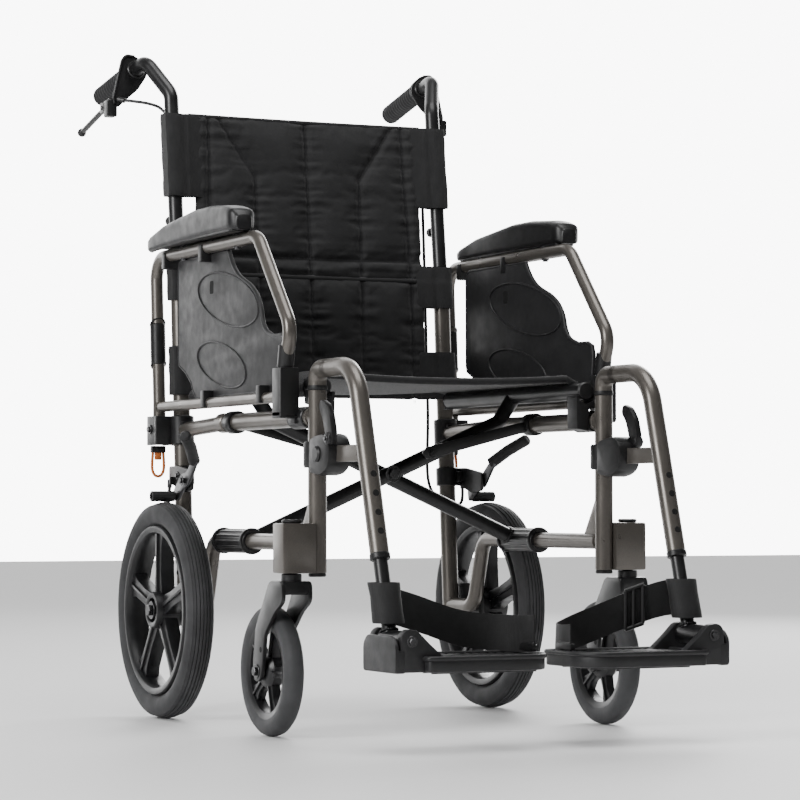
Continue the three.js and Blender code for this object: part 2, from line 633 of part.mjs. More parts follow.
add('back_lower_cover', backCover(rearPost, 480, 697, 482, 590), NYLON);
add('back_upper_cover', backCover(cane, 700, 915, 772, 915), NYLON);

export default chair;
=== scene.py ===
"""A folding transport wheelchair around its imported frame: smooth tubes, moulded plastic, quilted nylon."""
import json
import math

import bmesh
import bpy
import numpy as np
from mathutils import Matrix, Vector, noise


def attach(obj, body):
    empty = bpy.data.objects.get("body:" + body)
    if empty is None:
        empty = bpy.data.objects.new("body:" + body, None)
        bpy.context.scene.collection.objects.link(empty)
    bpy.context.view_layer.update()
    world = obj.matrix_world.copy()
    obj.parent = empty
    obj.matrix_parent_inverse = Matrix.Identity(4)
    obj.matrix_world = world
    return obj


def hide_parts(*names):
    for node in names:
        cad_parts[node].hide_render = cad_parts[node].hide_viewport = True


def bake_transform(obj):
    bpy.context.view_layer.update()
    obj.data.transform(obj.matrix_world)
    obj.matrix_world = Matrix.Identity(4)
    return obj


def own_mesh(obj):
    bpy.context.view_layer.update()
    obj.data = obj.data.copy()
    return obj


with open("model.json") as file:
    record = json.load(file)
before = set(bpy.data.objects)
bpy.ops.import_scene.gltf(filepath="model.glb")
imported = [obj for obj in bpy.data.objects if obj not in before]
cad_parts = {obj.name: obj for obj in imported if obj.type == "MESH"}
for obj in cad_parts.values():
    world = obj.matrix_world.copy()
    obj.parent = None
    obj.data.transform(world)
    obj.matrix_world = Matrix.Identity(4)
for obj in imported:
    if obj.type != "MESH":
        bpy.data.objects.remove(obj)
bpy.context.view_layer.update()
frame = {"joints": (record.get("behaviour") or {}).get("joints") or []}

JOINTS = {j["name"]: j for j in frame["joints"]}

# ---- lengths in millimetres, y measured from the rear axle, as in the CAD model ----
ORIGIN_Y = JOINTS["wheel_roll_l"]["pos_m"][1] * 1000
FRAME_X = JOINTS["legrest_swing_l"]["pos_m"][0] * 1000
POST_Y = JOINTS["legrest_swing_l"]["pos_m"][1] * 1000 - ORIGIN_Y
WHEEL_X = JOINTS["wheel_roll_l"]["pos_m"][0] * 1000
AXLE_Z = JOINTS["wheel_roll_l"]["pos_m"][2] * 1000
CASTOR_X = JOINTS["castor_swivel_l"]["pos_m"][0] * 1000
CASTOR_Y = JOINTS["castor_roll_l"]["pos_m"][1] * 1000 - ORIGIN_Y
CASTOR_Z = JOINTS["castor_roll_l"]["pos_m"][2] * 1000
ARM_X = JOINTS["armrest_flip_l"]["pos_m"][0] * 1000
ARM_HINGE = (83, 430)
BACK_HINGE = (72, 668)
FOOT_Z = JOINTS["footplate_flip_l"]["pos_m"][2] * 1000
LOWER_RAIL_Z = JOINTS["fold"]["pos_m"][2] * 1000
BRACE_Z = JOINTS["brace_cross"]["pos_m"][2] * 1000
PARK_PIVOT = (-20, 352)
PARK_SHOE = (15, 328.7)
LATCH_PIN = (-524, 404)
LEVER_PIVOT = (222, 934)
LEVER_TIP = (337, 909)
POST_FOOT = 223.5
RAIL_Z = 435
POST_TOP = 471.5
TUBE = 12.7
SLIM = 11.1
ARM_TUBE = 9.5
GUARD_X = 241            # side panel
SEAT_RAIL_X = 205
SEAT_RAIL_Z = 478
LEVER_X = 285            # hand-brake lever
ROUND = 32               # facets round a tube
STRAP_WIDTH = 48         # heel strap


def lower_line(z):
    """The rear post's y at a height."""
    return 36 + 0.0675 * (z - 150)


def upper_line(z):
    """The push-handle tube's y at a height."""
    return BACK_HINGE[0] + 0.1196 * (z - BACK_HINGE[1])


def rear_post(side, z):
    return (side * FRAME_X, lower_line(z), z)


def cane(side, z):
    return (side * FRAME_X, upper_line(z), z)


def leg(side, z):
    return (side * FRAME_X, -654.5 + 0.3 * (z - 247), z)


def on_grip(side, share):
    start, end = np.array([side * 246, 152, 1000.0]), np.array([side * 254.5, 334, 966.0])
    return tuple(start + (end - start) * share)


# ---- mesh parts: each is (points in mm, faces) ----
def sweep(corners, radius, bend=30, sides=ROUND, arc=8, caps=True, flat=1.0):
    """A round bar along straight runs with rounded corners. flat squeezes the section."""
    pts = [np.array(c, float) for c in corners]
    line, ways = [pts[0]], [unit(pts[1] - pts[0])]
    for a, b, c in zip(pts, pts[1:], pts[2:]):
        into, out = unit(b - a), unit(c - b)
        turn = math.acos(np.clip(into @ out, -1, 1))
        if turn < 1e-3:
            continue
        reach = bend * math.tan(turn / 2)
        inward = unit(out - into * (into @ out))
        for k in range(arc + 1):
            t = turn * k / arc
            line.append(b - into * reach + into * bend * math.sin(t) + inward * bend * (1 - math.cos(t)))
            ways.append(into * math.cos(t) + inward * math.sin(t))
    line.append(pts[-1])
    ways.append(unit(pts[-1] - pts[-2]))
    return loft(line, ways, radius, sides, caps, flat)


def unit(v):
    return v / np.linalg.norm(v)


def ring_faces(rings, n, loop=False):
    """Quads between rings of n points; loop also joins the last ring to the first."""
    faces = []
    for i in range(rings if loop else rings - 1):
        j = (i + 1) % rings
        faces += [(i * n + k, i * n + (k + 1) % n, j * n + (k + 1) % n, j * n + k) for k in range(n)]
    return faces


def end_faces(rings, n):
    return [tuple(range(n)), tuple(range((rings - 1) * n, rings * n))]


def layer_faces(nx, nz):
    """Faces of two grids of nx by nz points, one in front of the other, joined at the rim."""
    base = nx * nz
    faces = []
    for j in range(nz - 1):
        for i in range(nx - 1):
            a = j * nx + i
            faces += [(a, a + 1, a + nx + 1, a + nx),
                      (base + a, base + a + nx, base + a + nx + 1, base + a + 1)]
    rim = list(range(nx)) + [j * nx + nx - 1 for j in range(1, nz)]
    rim += [(nz - 1) * nx + i for i in range(nx - 2, -1, -1)] + [j * nx for j in range(nz - 2, 0, -1)]
    return faces + [(a, base + a, base + b, b) for a, b in zip(rim, rim[1:] + rim[:1])]


def loft(line, ways, radius, sides, caps, flat=1.0):
    """Rings along a line; radius is one number or one for each ring."""
    radii = np.broadcast_to(radius, len(line))
    up = np.array([0, 0, 1.0]) if abs(ways[0][2]) < 0.9 else np.array([1.0, 0, 0])
    u = unit(np.cross(ways[0], up))
    verts, faces = [], ring_faces(len(line), sides)
    angles = np.arange(sides) * 2 * math.pi / sides
    for p, w, r in zip(line, ways, radii):
        u = unit(u - w * (u @ w))
        v = np.cross(w, u)
        verts += [p + r * (math.cos(a) * u + math.sin(a) * v * flat) for a in angles]
    if caps:
        faces.append(tuple(reversed(range(sides))))
        faces.append(tuple(range((len(line) - 1) * sides, len(line) * sides)))
    return np.array(verts), faces


def closed_bead(points, radius):
    """A round bead along a closed outline."""
    line = [*points, points[0]]
    ways = [unit(b - a) for a, b in zip(line[:-1], line[1:])]
    return loft(line, ways + ways[:1], radius, 10, False)


def bar(a, b, radius, chamfer=0.8, sides=ROUND):
    """A straight round bar whose ends are chamfered."""
    a, b = np.array(a, float), np.array(b, float)
    w = unit(b - a)
    line = [a, a + w * chamfer, b - w * chamfer, b]
    return loft(line, [w] * 4, [radius - chamfer, radius, radius, radius - chamfer], sides, True)


def lathe(profile, centre, axis="x", segments=96, closed=True):
    """A profile of (radius, distance along the axis) turned about an axis through centre."""
    prof = np.array(profile, float)
    n = len(prof)
    verts, faces = [], []
    for k in range(segments):
        a = k * 2 * math.pi / segments
        c, s = math.cos(a), math.sin(a)
        for r, h in prof:
            verts.append({"x": (h, r * c, r * s), "y": (r * s, h, r * c), "z": (r * c, r * s, h)}[axis])
    for k in range(segments):
        nxt = (k + 1) % segments
        for i in range(n if closed else n - 1):
            j = (i + 1) % n
            faces.append((k * n + i, k * n + j, nxt * n + j, nxt * n + i))
    return np.array(verts) + np.array(centre, float), faces


def both_ways(half):
    """A symmetric profile from its half, mirrored in the second number."""
    return half + [(r, -h) for r, h in reversed(half) if h]


def bevelled(verts, faces, width, segments=2, angle=0.6):
    """The same part with its sharp edges rounded."""
    bm = bmesh.new()
    made = [bm.verts.new(v) for v in verts]
    for f in faces:
        bm.faces.new([made[i] for i in f])
    bmesh.ops.recalc_face_normals(bm, faces=bm.faces)
    sharp = [e for e in bm.edges if len(e.link_faces) == 2 and e.calc_face_angle(0) > angle]
    bmesh.ops.bevel(bm, geom=sharp, offset=width, segments=segments, profile=0.6, affect="EDGES",
                    clamp_overlap=True)
    bm.verts.index_update()
    out = np.array([v.co[:] for v in bm.verts]), [tuple(v.index for v in f.verts) for f in bm.faces]
    bm.free()
    return out


def plate(outline, plane, middle, thickness, bevel=1.0):
    """A flat outline of (a, b) points given thickness across a plane: "yz", "xz" or "xy"."""
    n = len(outline)
    where = {"yz": lambda a, b, c: (c, a, b), "xz": lambda a, b, c: (a, c, b), "xy": lambda a, b,
             c: (a, b, c)}[plane]
    verts = [where(a, b, middle + c) for c in (-thickness / 2, thickness / 2) for a, b in outline]
    faces = [tuple(range(n)), tuple(reversed(range(n, 2 * n)))]
    faces += [(i, (i + 1) % n, n + (i + 1) % n, n + i) for i in range(n)]
    return bevelled(np.array(verts, float), faces, bevel) if bevel else (np.array(verts, float), faces)


def block(x, y, z, bevel=1.5):
    return plate([(x[0], y[0]), (x[1], y[0]), (x[1], y[1]), (x[0], y[1])], "xy", (z[0] + z[1]) / 2,
                 abs(z[1] - z[0]), bevel)


def rounded(points, radius, steps=4):
    """An outline whose corners are arcs."""
    pts = [np.array(p, float) for p in points]
    out = []
    for i, b in enumerate(pts):
        a, c = pts[i - 1], pts[(i + 1) % len(pts)]
        r = radius[i] if isinstance(radius, (list, tuple)) else radius
        reach = min(r, np.linalg.norm(a - b) / 2.1, np.linalg.norm(c - b) / 2.1)
        p, q = b + unit(a - b) * reach, b + unit(c - b) * reach
        for k in range(steps + 1):
            t = k / steps
            out.append(tuple((1 - t) ** 2 * p + 2 * t * (1 - t) * b + t * t * q))
    return out


def bolt(centre, axis, radius, height):
    """A hexagon head on a washer, standing off along an axis."""
    c, w = np.array(centre, float), np.array(axis, float)
    return [bar(c, c + w * 1.4, radius * 1.5, 0.4, 24),
            bar(c + w * 1.4, c + w * (1.4 + height), radius, 0.8, 6)]


def weld_bead(centre, axis, radius, bead=1.6, ripples=26):
    """A rippled ring of weld round a tube's end."""
    w = unit(np.array(axis, float))
    up = np.array([0, 0, 1.0]) if abs(w[2]) < 0.9 else np.array([1.0, 0, 0])
    u = unit(np.cross(w, up))
    v = np.cross(w, u)
    n = ripples * 3
    line, ways, radii = [], [], []
    for k in range(n + 1):
        a = k * 2 * math.pi / n
        line.append(np.array(centre) + (radius + bead * 0.3) * (math.cos(a) * u + math.sin(a) * v))
        ways.append(-math.sin(a) * u + math.cos(a) * v)
        radii.append(bead * (1 + 0.22 * math.cos(a * ripples)))
    return loft(line, ways, radii, 8, True)


# ---- objects ----
def place(points):
    return (np.array(points, float) + (0, ORIGIN_Y, 0)) / 1000


def make(name, parts, material, body, replaces=(), smooth=38):
    """One piece out of several parts, riding on a body."""
    if isinstance(parts, tuple):
        parts = [parts]
    verts, faces, base = [], [], 0
    for v, f in parts:
        verts.append(v)
        faces += [tuple(i + base for i in face) for face in f]
        base += len(v)
    mesh = bpy.data.meshes.new(name)
    mesh.from_pydata([tuple(p) for p in place(np.vstack(verts))], [], faces)
    bm = bmesh.new()
    bm.from_mesh(mesh)
    bmesh.ops.recalc_face_normals(bm, faces=bm.faces)
    bm.to_mesh(mesh)
    bm.free()
    mesh.shade_smooth()
    mesh.set_sharp_from_angle(angle=math.radians(smooth))
    obj = bpy.data.objects.new(name, mesh)
    bpy.context.scene.collection.objects.link(obj)
    mesh.materials.append(material)
    if body:
        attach(obj, body)
    if replaces:
        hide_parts(*replaces)
    return obj


# ---- materials ----
class Shader:
    """A Principled material with helpers for its procedural nodes."""

    def __init__(self, name, color, roughness, metallic=0.0, specular=0.5):
        self.material = bpy.data.materials.new(name)
        self.material.use_nodes = True
        self.tree = self.material.node_tree
        self.bsdf = self.tree.nodes["Principled BSDF"]
        self.set("Base Color", (*color, 1))
        self.set("Roughness", roughness)
        self.set("Metallic", metallic)
        self.set("Specular IOR Level", specular)
        self.coords = self.node("ShaderNodeTexCoord").outputs["Object"]
        self.height = None

    def set(self, socket, value):
        self.bsdf.inputs[socket].default_value = value

    def node(self, kind, **values):
        made = self.tree.nodes.new(kind)
        for key, value in values.items():
            if key in made.inputs:
                made.inputs[key].default_value = value
            else:
                setattr(made, key, value)
        return made

    def link(self, a, b):
        self.tree.links.new(a, b)

    def noise(self, scale, detail=3, stretch=None):
        tex = self.node("ShaderNodeTexNoise")
        tex.inputs["Scale"].default_value = scale
        tex.inputs["Detail"].default_value = detail
        self.link(self.stretched(stretch), tex.inputs["Vector"])
        return tex.outputs["Fac"]

    def stretched(self, stretch):
        if stretch is None:
            return self.coords
        mapping = self.node("ShaderNodeMapping")
        mapping.inputs["Scale"].default_value = stretch
        self.link(self.coords, mapping.inputs["Vector"])
        return mapping.outputs["Vector"]

    def ramp(self, fac, low, high, start=0.35, end=0.65):
        made = self.node("ShaderNodeValToRGB")
        made.color_ramp.elements[0].position = start
        made.color_ramp.elements[1].position = end
        made.color_ramp.elements[0].color = (*low, 1)
        made.color_ramp.elements[1].color = (*high, 1)
        self.link(fac, made.inputs["Fac"])
        return made.outputs["Color"]

    def span(self, fac, low, high, start=0.3, end=0.7):
        made = self.node("ShaderNodeMapRange")
        for key, value in (("From Min", start), ("From Max", end), ("To Min", low), ("To Max", high)):
            made.inputs[key].default_value = value
        self.link(fac, made.inputs["Value"])
        return made.outputs["Result"]

    def math(self, kind, a, b):
        made = self.node("ShaderNodeMath", operation=kind)
        for socket, value in zip(made.inputs, (a, b)):
            if isinstance(value, (int, float)):
                socket.default_value = value
            else:
                self.link(value, socket)
        return made.outputs[0]

    def color(self, out):
        self.link(out, self.bsdf.inputs["Base Color"])

    def roughness(self, out):
        self.link(out, self.bsdf.inputs["Roughness"])

    def bump(self, height, strength, distance):
        made = self.node("ShaderNodeBump")
        made.inputs["Strength"].default_value = strength
        made.inputs["Distance"].default_value = distance
        self.link(height, made.inputs["Height"])
        if self.height:
            self.link(self.height, made.inputs["Normal"])
        self.height = made.outputs["Normal"]
        self.link(self.height, self.bsdf.inputs["Normal"])


def shade(color, factor):
    return tuple(c * factor for c in color)


def paint(name, color, roughness, metallic, worn=0.0):
    """Sprayed paint: fine flake and slight orange peel; worn adds a coarser bump."""
    s = Shader(name, color, roughness, metallic)
    flake = s.noise(2600, 2)
    s.color(s.ramp(flake, shade(color, 0.82), shade(color, 1.2)))
    s.roughness(s.span(s.noise(35, 4), roughness - 0.06, roughness + 0.08))
    s.bump(s.noise(420, 2), 0.05, 0.0006)
    if worn:
        s.bump(s.noise(90, 5), worn, 0.0006)
    s.set("Coat Weight", 0.25)
    s.set("Coat Roughness", 0.22)
    return s.material


def moulded(name, color, roughness, grain=900, depth=0.12, tint=0.12):
    """Moulded plastic with a spark-eroded grain and faint handling marks."""
    s = Shader(name, color, roughness)
    s.color(s.ramp(s.noise(22, 5), shade(color, 1 - tint), shade(color, 1 + tint)))
    s.roughness(s.span(s.noise(60, 4), roughness - 0.07, roughness + 0.07))
    s.bump(s.noise(grain, 3), depth, 0.0005)
    return s.material


def rubber(name, color, roughness=0.8, dust=0.35):
    """Matt rubber, dusty in patches."""
    s = Shader(name, color, roughness)
    s.color(s.ramp(s.noise(14, 6), shade(color, 1 - dust / 2), shade(color, 1 + dust)))
    s.roughness(s.span(s.noise(45, 4), roughness - 0.08, min(1.0, roughness + 0.1)))
    s.bump(s.noise(700, 4), 0.2, 0.0005)
    return s.material


def woven(name, color, thread=0.0009, sheen=0.25, roughness=0.78, along=("X", "Z")):
    """Plain weave: two crossed sets of threads in object space, with slubs."""
    s = Shader(name, color, roughness)
    waves = []
    for axis in along:
        wave = s.node("ShaderNodeTexWave", bands_direction=axis)
        wave.inputs["Scale"].default_value = 0.314 / thread
        wave.inputs["Distortion"].default_value = 0.6
        wave.inputs["Detail"].default_value = 1
        s.link(s.coords, wave.inputs["Vector"])
        waves.append(wave.outputs["Fac"])
    cloth = s.math("MAXIMUM", *waves)
    s.color(s.ramp(s.math("MULTIPLY", cloth, s.noise(60, 5)), shade(color, 0.7), shade(color, 1.35), 0.1,
                   0.6))
    s.bump(cloth, 0.35, 0.0004)
    s.bump(s.noise(180, 4), 0.12, 0.001)
    s.set("Sheen Weight", sheen)
    s.set("Sheen Roughness", 0.4)
    return s.material


def brushed(name, color, roughness=0.3, stretch=(1, 60, 1)):
    """Plated or brushed steel with fine directional scratches."""
    s = Shader(name, color, roughness, 1.0)
    fine = s.noise(60, 4, stretch)
    s.roughness(s.span(fine, roughness - 0.1, roughness + 0.14))
    s.color(s.ramp(s.noise(30, 4), shade(color, 0.85), shade(color, 1.1)))
    s.bump(fine, 0.08, 0.0004)
    return s.material


BRONZE = paint("champagne_paint", (0.145, 0.132, 0.118), 0.33, 0.6)
BLACK_METAL = paint("black_powder_coat", (0.007, 0.007, 0.0075), 0.4, 0.0)
BLACK_PLASTIC = moulded("black_plastic", (0.009, 0.009, 0.0095), 0.42)
GUARD = moulded("guard_plastic", (0.017, 0.017, 0.018), 0.5, 1300, 0.15)
FOOT_PLASTIC = moulded("footplate_plastic", (0.018, 0.018, 0.019), 0.48, 650, 0.3)
WHEEL_PLASTIC = moulded("wheel_plastic", (0.012, 0.012, 0.013), 0.36, 900, 0.1)
PAD = moulded("pad_skin", (0.0085, 0.0085, 0.009), 0.42, 900, 0.05)
TYRE = rubber("tyre_rubber", (0.036, 0.0362, 0.038), 0.72)
CASTOR_TYRE = rubber("castor_rubber", (0.048, 0.0485, 0.051), 0.66, 0.2)
GRIP_RUBBER = rubber("grip_rubber", (0.016, 0.016, 0.017), 0.62, 0.25)
CABLE = rubber("cable_sheath", (0.018, 0.018, 0.019), 0.45, 0.1)
NYLON = woven("quilted_nylon", (0.0105, 0.0105, 0.0112))
SEAT_NYLON = woven("seat_nylon", (0.0105, 0.0105, 0.0112), along=("X", "Y"))
WEBBING = woven("webbing", (0.011, 0.011, 0.0115), 0.0017, 0.1, 0.7)
ORANGE = woven("orange_loop", (0.62, 0.17, 0.035), 0.0012, 0.1, 0.7)
STEEL = brushed("plated_steel", (0.09, 0.09, 0.092))
DARK_STEEL = brushed("dark_steel", (0.12, 0.12, 0.124), 0.36)
THREAD = rubber("stitching", (0.02, 0.02, 0.022), 0.7, 0.1)
# near-black painted shade for the insides of drilled holes and slots
HOLE_SHADE = moulded("hole_shadow", (0.003, 0.003, 0.003), 0.9)


# ---- side frame, axle, saddle ----
def hole_shade_disc(centre, axis, radius=3.4):
    """A drilled hole's countersunk rim, whose near-black colour is painted shade for the hole's dark inside.
    """
    c, w = np.array(centre, float), np.array(axis, float)
    return bar(c - w * 0.5, c + w * 0.35, radius, 0.3, 20)


def side_frame(side, tag):
    def at(y, z):
        return (side * FRAME_X, y, z)
    post_low = (POST_Y, POST_FOOT)
    parts = [
        bar(at(*post_low), at(POST_Y, POST_TOP), TUBE),
        bar(at(POST_Y, RAIL_Z), at(-122, RAIL_Z), TUBE),
        bar(at(-133, RAIL_Z), at(-109, RAIL_Z), TUBE + 1.8, 1.4),
        bar(at(-115, RAIL_Z - 0.2), rear_post(side, 428), SLIM),
        sweep([at(POST_Y, LOWER_RAIL_Z), at(-78, LOWER_RAIL_Z), at(-44, AXLE_Z), rear_post(side, AXLE_Z)],
              SLIM, 30),
        bar(rear_post(side, 146), rear_post(side, 644), TUBE),
        block((side * 231, side * 280), (POST_Y - 19, POST_Y + 19), (POST_FOOT, 291), 3.0),
        plate([(POST_Y, 262), (POST_Y + 56, 262), (POST_Y + 50, 276), (POST_Y + 12, 334), (POST_Y, 334)],
              "yz", side * FRAME_X, 8, 1.2),
        weld_bead(at(POST_Y + TUBE - 1, RAIL_Z), (0, 1, 0), TUBE),
        weld_bead(at(POST_Y + TUBE - 1, LOWER_RAIL_Z), (0, 1, 0), SLIM),
        weld_bead((side * FRAME_X, rear_post(side, 428)[1] - TUBE + 1, 428.4), (0, 1, 0), SLIM),
    ]
    for offset in (-6.6, 6.6):
        y = rear_post(side, 636)[1]
        hy, hz = BACK_HINGE
        ear = rounded([(y - 9, 632), (y + 9, 632), (hy + 10, hz + 8), (hy - 10, hz + 8)], [1, 1, 10, 10])
        parts.append(plate(ear, "yz", side * FRAME_X + offset, 4, 0.5))
    parts.append(bar((side * FRAME_X - 10, *BACK_HINGE), (side * FRAME_X + 10, *BACK_HINGE), 3.5, 0.6, 16))
    make(f"side_frame_{tag}_tubes", parts, BRONZE, f"frame_{tag}", [f"side_frame_{tag}"])
    trim = [
        bar((side * CASTOR_X, POST_Y, 291), (side * CASTOR_X, POST_Y, 296), 13.5, 1.5),
        bar(at(POST_Y, 218.5), at(POST_Y, 223.6), TUBE - 0.6, 1.2),
        bar(rear_post(side, 141), rear_post(side, 146.2), TUBE - 0.6, 1.2),
    ]
    make(f"frame_caps_{tag}", trim, BLACK_PLASTIC, f"frame_{tag}")
    # painted shade in the rear post's adjustment holes
    marks = [hole_shade_disc((side * (FRAME_X + TUBE - 0.2), rear_post(side, z)[1], z), (side, 0, 0))
             for z in (214, 239, 264, 289)]
    make(f"frame_hole_shade_{tag}", marks, HOLE_SHADE, f"frame_{tag}")


def axle_housing(side, tag):
    shape = rounded([(-34, 136), (46, 136), (54, 150), (54, 182), (38, 194), (-24, 194), (-34, 182)], 7)
    make(f"axle_plate_{tag}", [
        plate(shape, "yz", side * 240.5, 10, 1.6),
        bar((side * 245, 0, AXLE_Z), (side * 250.6, 0, AXLE_Z), 15, 1.2),
    ], BLACK_METAL, f"frame_{tag}", [f"axle_housing_{tag}"])
    make(f"axle_bolt_{tag}", [
        bar((side * 246, 0, AXLE_Z), (side * 291, 0, AXLE_Z), 6),
        *bolt((side * 290.6, 0, AXLE_Z), (side, 0, 0), 9, 5.6),
        *bolt((side * 245.5, 30, 150), (side, 0, 0), 4.6, 3.4),
        *bolt((side * 245.5, -20, 178), (side, 0, 0), 4.6, 3.4),
    ], STEEL, f"frame_{tag}")


def seat_saddle(side, tag):
    shape = rounded([(side * 189, 424), (side * 208, 421), (side * 208, 452), (side * 221, 454),
                     (side * 221, 474),
                     (side * 218, 474), (side * 216, 464), (side * 205, 459), (side * 193, 464),
                     (side * 192, 471),
                     (side * 188, 471)], 2.5, 3)
    make(f"seat_saddle_{tag}_block", [plate(shape, "xz", -421, 29, 1.2)], BLACK_PLASTIC, f"frame_{tag}",
         [f"seat_saddle_{tag}"])


# ---- wheels ----
def spokes(centre, start, shapes, bevel):
    """Five spokes, each built from flat shapes of (radius, width) with their thicknesses."""
    x, y, z = centre
    out = []
    for k in range(5):
        a = start + k * 2 * math.pi / 5
        for shape, thickness in shapes:
            turned = [(math.cos(a) * r - math.sin(a) * w + y, math.sin(a) * r + math.cos(a) * w + z) for r,
                      w in shape]
            out.append(plate(turned, "yz", x, thickness, bevel))
    return out


def rear_wheel(side, tag):
    grooves = []
    for h in np.linspace(-13, 13, 27):
        crown = AXLE_Z - 0.2 - 0.022 * h * h
        cut = 2.0 if int(round(h)) % 5 == 0 else 0.0
        grooves.append((crown - cut, h))
    wall = [(156, 15.5), (151, 18.6), (146, 20), (140, 20), (135, 18.8), (131, 17), (128.6, 15),
            (126.6, 13)]
    profile = [(r, -h) for r, h in reversed(wall)] + grooves + wall
    centre = (side * WHEEL_X, 0, AXLE_Z)
    make(f"rear_tyre_{tag}_rubber", [lathe(profile, centre, segments=144)], TYRE, f"wheel_{tag}",
         [f"rear_tyre_{tag}"], smooth=30)
    ring = both_ways([(126.4, -15), (124, -18.4), (119, -18.6), (115.4, -17), (113.4, -13), (112, -6),
                      (111.6, 0)])
    hub = both_ways([(6.4, -13), (17.4, -13), (18.4, -20), (21, -21.4), (25.4, -21), (27, -18), (28, 0)])
    parts = [lathe(ring, centre, segments=96), lathe(hub, centre, segments=64)]
    web = rounded(both_ways([(22, -15), (60, -11.5), (98, -13), (114, -20)]), 5, 3)
    rib = rounded(both_ways([(24, -2.4), (113, -2.4)]), 1)
    parts += spokes(centre, math.pi / 2, ((web, 21), (rib, 28)), 1.6)
    make(f"rear_rim_{tag}_spokes", parts, WHEEL_PLASTIC, f"wheel_{tag}", [f"rear_rim_{tag}"])


def castor(side, tag):
    centre = (side * CASTOR_X, CASTOR_Y, CASTOR_Z)
    tyre = both_ways([(66, -11), (70, -13), (76, -13.6), (83, -12), (87.2, -8.2), (88.8, -4), (89, 0)])
    make(f"castor_{tag}_tyre", [lathe(tyre, centre, segments=96)], CASTOR_TYRE, f"castor_{tag}",
         [f"castor_wheel_{tag}"], smooth=50)
    core = both_ways([(6.8, -14), (14, -14), (20, -11), (24, -6)])
    band = both_ways([(57, -8), (60, -10), (66.5, -11)]) + [(56.4, 0)]
    parts = [lathe(core, centre, segments=72), lathe(band, centre, segments=96)]
    web = rounded(both_ways([(18, -9), (40, -6.4), (58, -13)]), 4, 3)
    rib = rounded(both_ways([(20, -1.6), (58, -1.6)]), 0.6)
    parts += spokes(centre, math.pi / 5, ((web, 12), (rib, 18)), 1)
    make(f"castor_{tag}_hub", parts, WHEEL_PLASTIC, f"castor_{tag}")
    shape = rounded([(POST_Y - 21, 186), (POST_Y - 19, 213), (POST_Y + 26, 213), (POST_Y + 42, 190),
                     (CASTOR_Y + 6, 148), (CASTOR_Y + 15, 92), (CASTOR_Y + 9, 75), (CASTOR_Y - 9, 75),
                     (CASTOR_Y - 17, 90), (CASTOR_Y - 26, 140), (POST_Y + 8, 170)], 9, 4)
    fork = [plate(shape, "yz", side * CASTOR_X + 19.5, 6, 1.4),
            plate(shape, "yz", side * CASTOR_X - 19.5, 6, 1.4),
            block((side * CASTOR_X - 21, side * CASTOR_X + 21), (POST_Y - 19, POST_Y + 26), (195, 213.5),
                  3),
            bar((side * CASTOR_X, POST_Y, 212), (side * CASTOR_X, POST_Y, 222.8), 14, 1.2),
            bar((side * CASTOR_X, POST_Y, 212), (side * CASTOR_X, POST_Y, 283), 8)]
    make(f"castor_fork_{tag}_legs", fork, BLACK_METAL, f"fork_{tag}", [f"castor_fork_{tag}"])
    bolts = [bar((side * CASTOR_X - 22, CASTOR_Y, CASTOR_Z), (side * CASTOR_X + 22, CASTOR_Y, CASTOR_Z),
                 5.5)]
    for way in (-1, 1):
        bolts += bolt((side * CASTOR_X + way * 22.3, CASTOR_Y, CASTOR_Z), (way, 0, 0), 6.6, 4.2)
    make(f"castor_bolt_{tag}", bolts, STEEL, f"fork_{tag}")
    # painted shade in the fork's spare axle holes
    spare = [hole_shade_disc((side * CASTOR_X + way * 22.4, CASTOR_Y - 14, CASTOR_Z + 30), (way, 0, 0),
                       4) for way in (-1, 1)]
    make(f"castor_fork_hole_shade_{tag}", spare, HOLE_SHADE, f"fork_{tag}")


# ---- scissor brace ----
def collar(inner, outer, lip, ends, centre):
    """A sleeve along y whose outer corners are cut by lip."""
    low, high = ends
    return lathe([(inner, low), (outer - lip, low), (outer, low + 1), (outer, high - 1),
                  (outer - lip, high),
                  (inner, high)], centre, "y", 48)


def brace_arm(side, tag, y, sleeve):
    slope = (BRACE_Z - LOWER_RAIL_Z) / FRAME_X
    rail = (side * FRAME_X, 0, LOWER_RAIL_Z)
    corners = [(side * (FRAME_X - 10), y, LOWER_RAIL_Z + slope * 10),
               (-side * 178, y, BRACE_Z + slope * 178),
               (-side * SEAT_RAIL_X, y, SEAT_RAIL_Z)]
    parts = [
        sweep(corners, 11, 14),
        collar(SLIM + 0.5, 16, 0.8, sleeve, rail),
        *[collar(15, 19, 0.6, (end - 3.4, end + 3.4), rail) for end in (sleeve[0] + 4, sleeve[1] - 4)],
        *[bar((rail[0] + 15.4 * math.cos(turn), sleeve[0] + 6, rail[2] + 15.4 * math.sin(turn)),
              (rail[0] + 15.4 * math.cos(turn), sleeve[1] - 6, rail[2] + 15.4 * math.sin(turn)), 2, 0.5, 12)
          for turn in np.linspace(0, 2 * math.pi, 12, endpoint=False)],
        bar((-side * SEAT_RAIL_X, -431, SEAT_RAIL_Z), (-side * SEAT_RAIL_X, 3, SEAT_RAIL_Z), 12.5),
        weld_bead((side * (FRAME_X - 15), y, LOWER_RAIL_Z + slope * 15), (1, 0, -slope), 11, 1.5),
    ]
    make(f"brace_arm_{tag}_tubes", parts, BLACK_METAL, f"arm_{tag}", [f"brace_arm_{tag}"])
    caps = [bar((-side * SEAT_RAIL_X, a, SEAT_RAIL_Z), (-side * SEAT_RAIL_X, b, SEAT_RAIL_Z), 13, 2)
            for a, b in ((-434, -430), (2, 6))]
    make(f"seat_rail_caps_{tag}", caps, BLACK_PLASTIC, f"arm_{tag}")


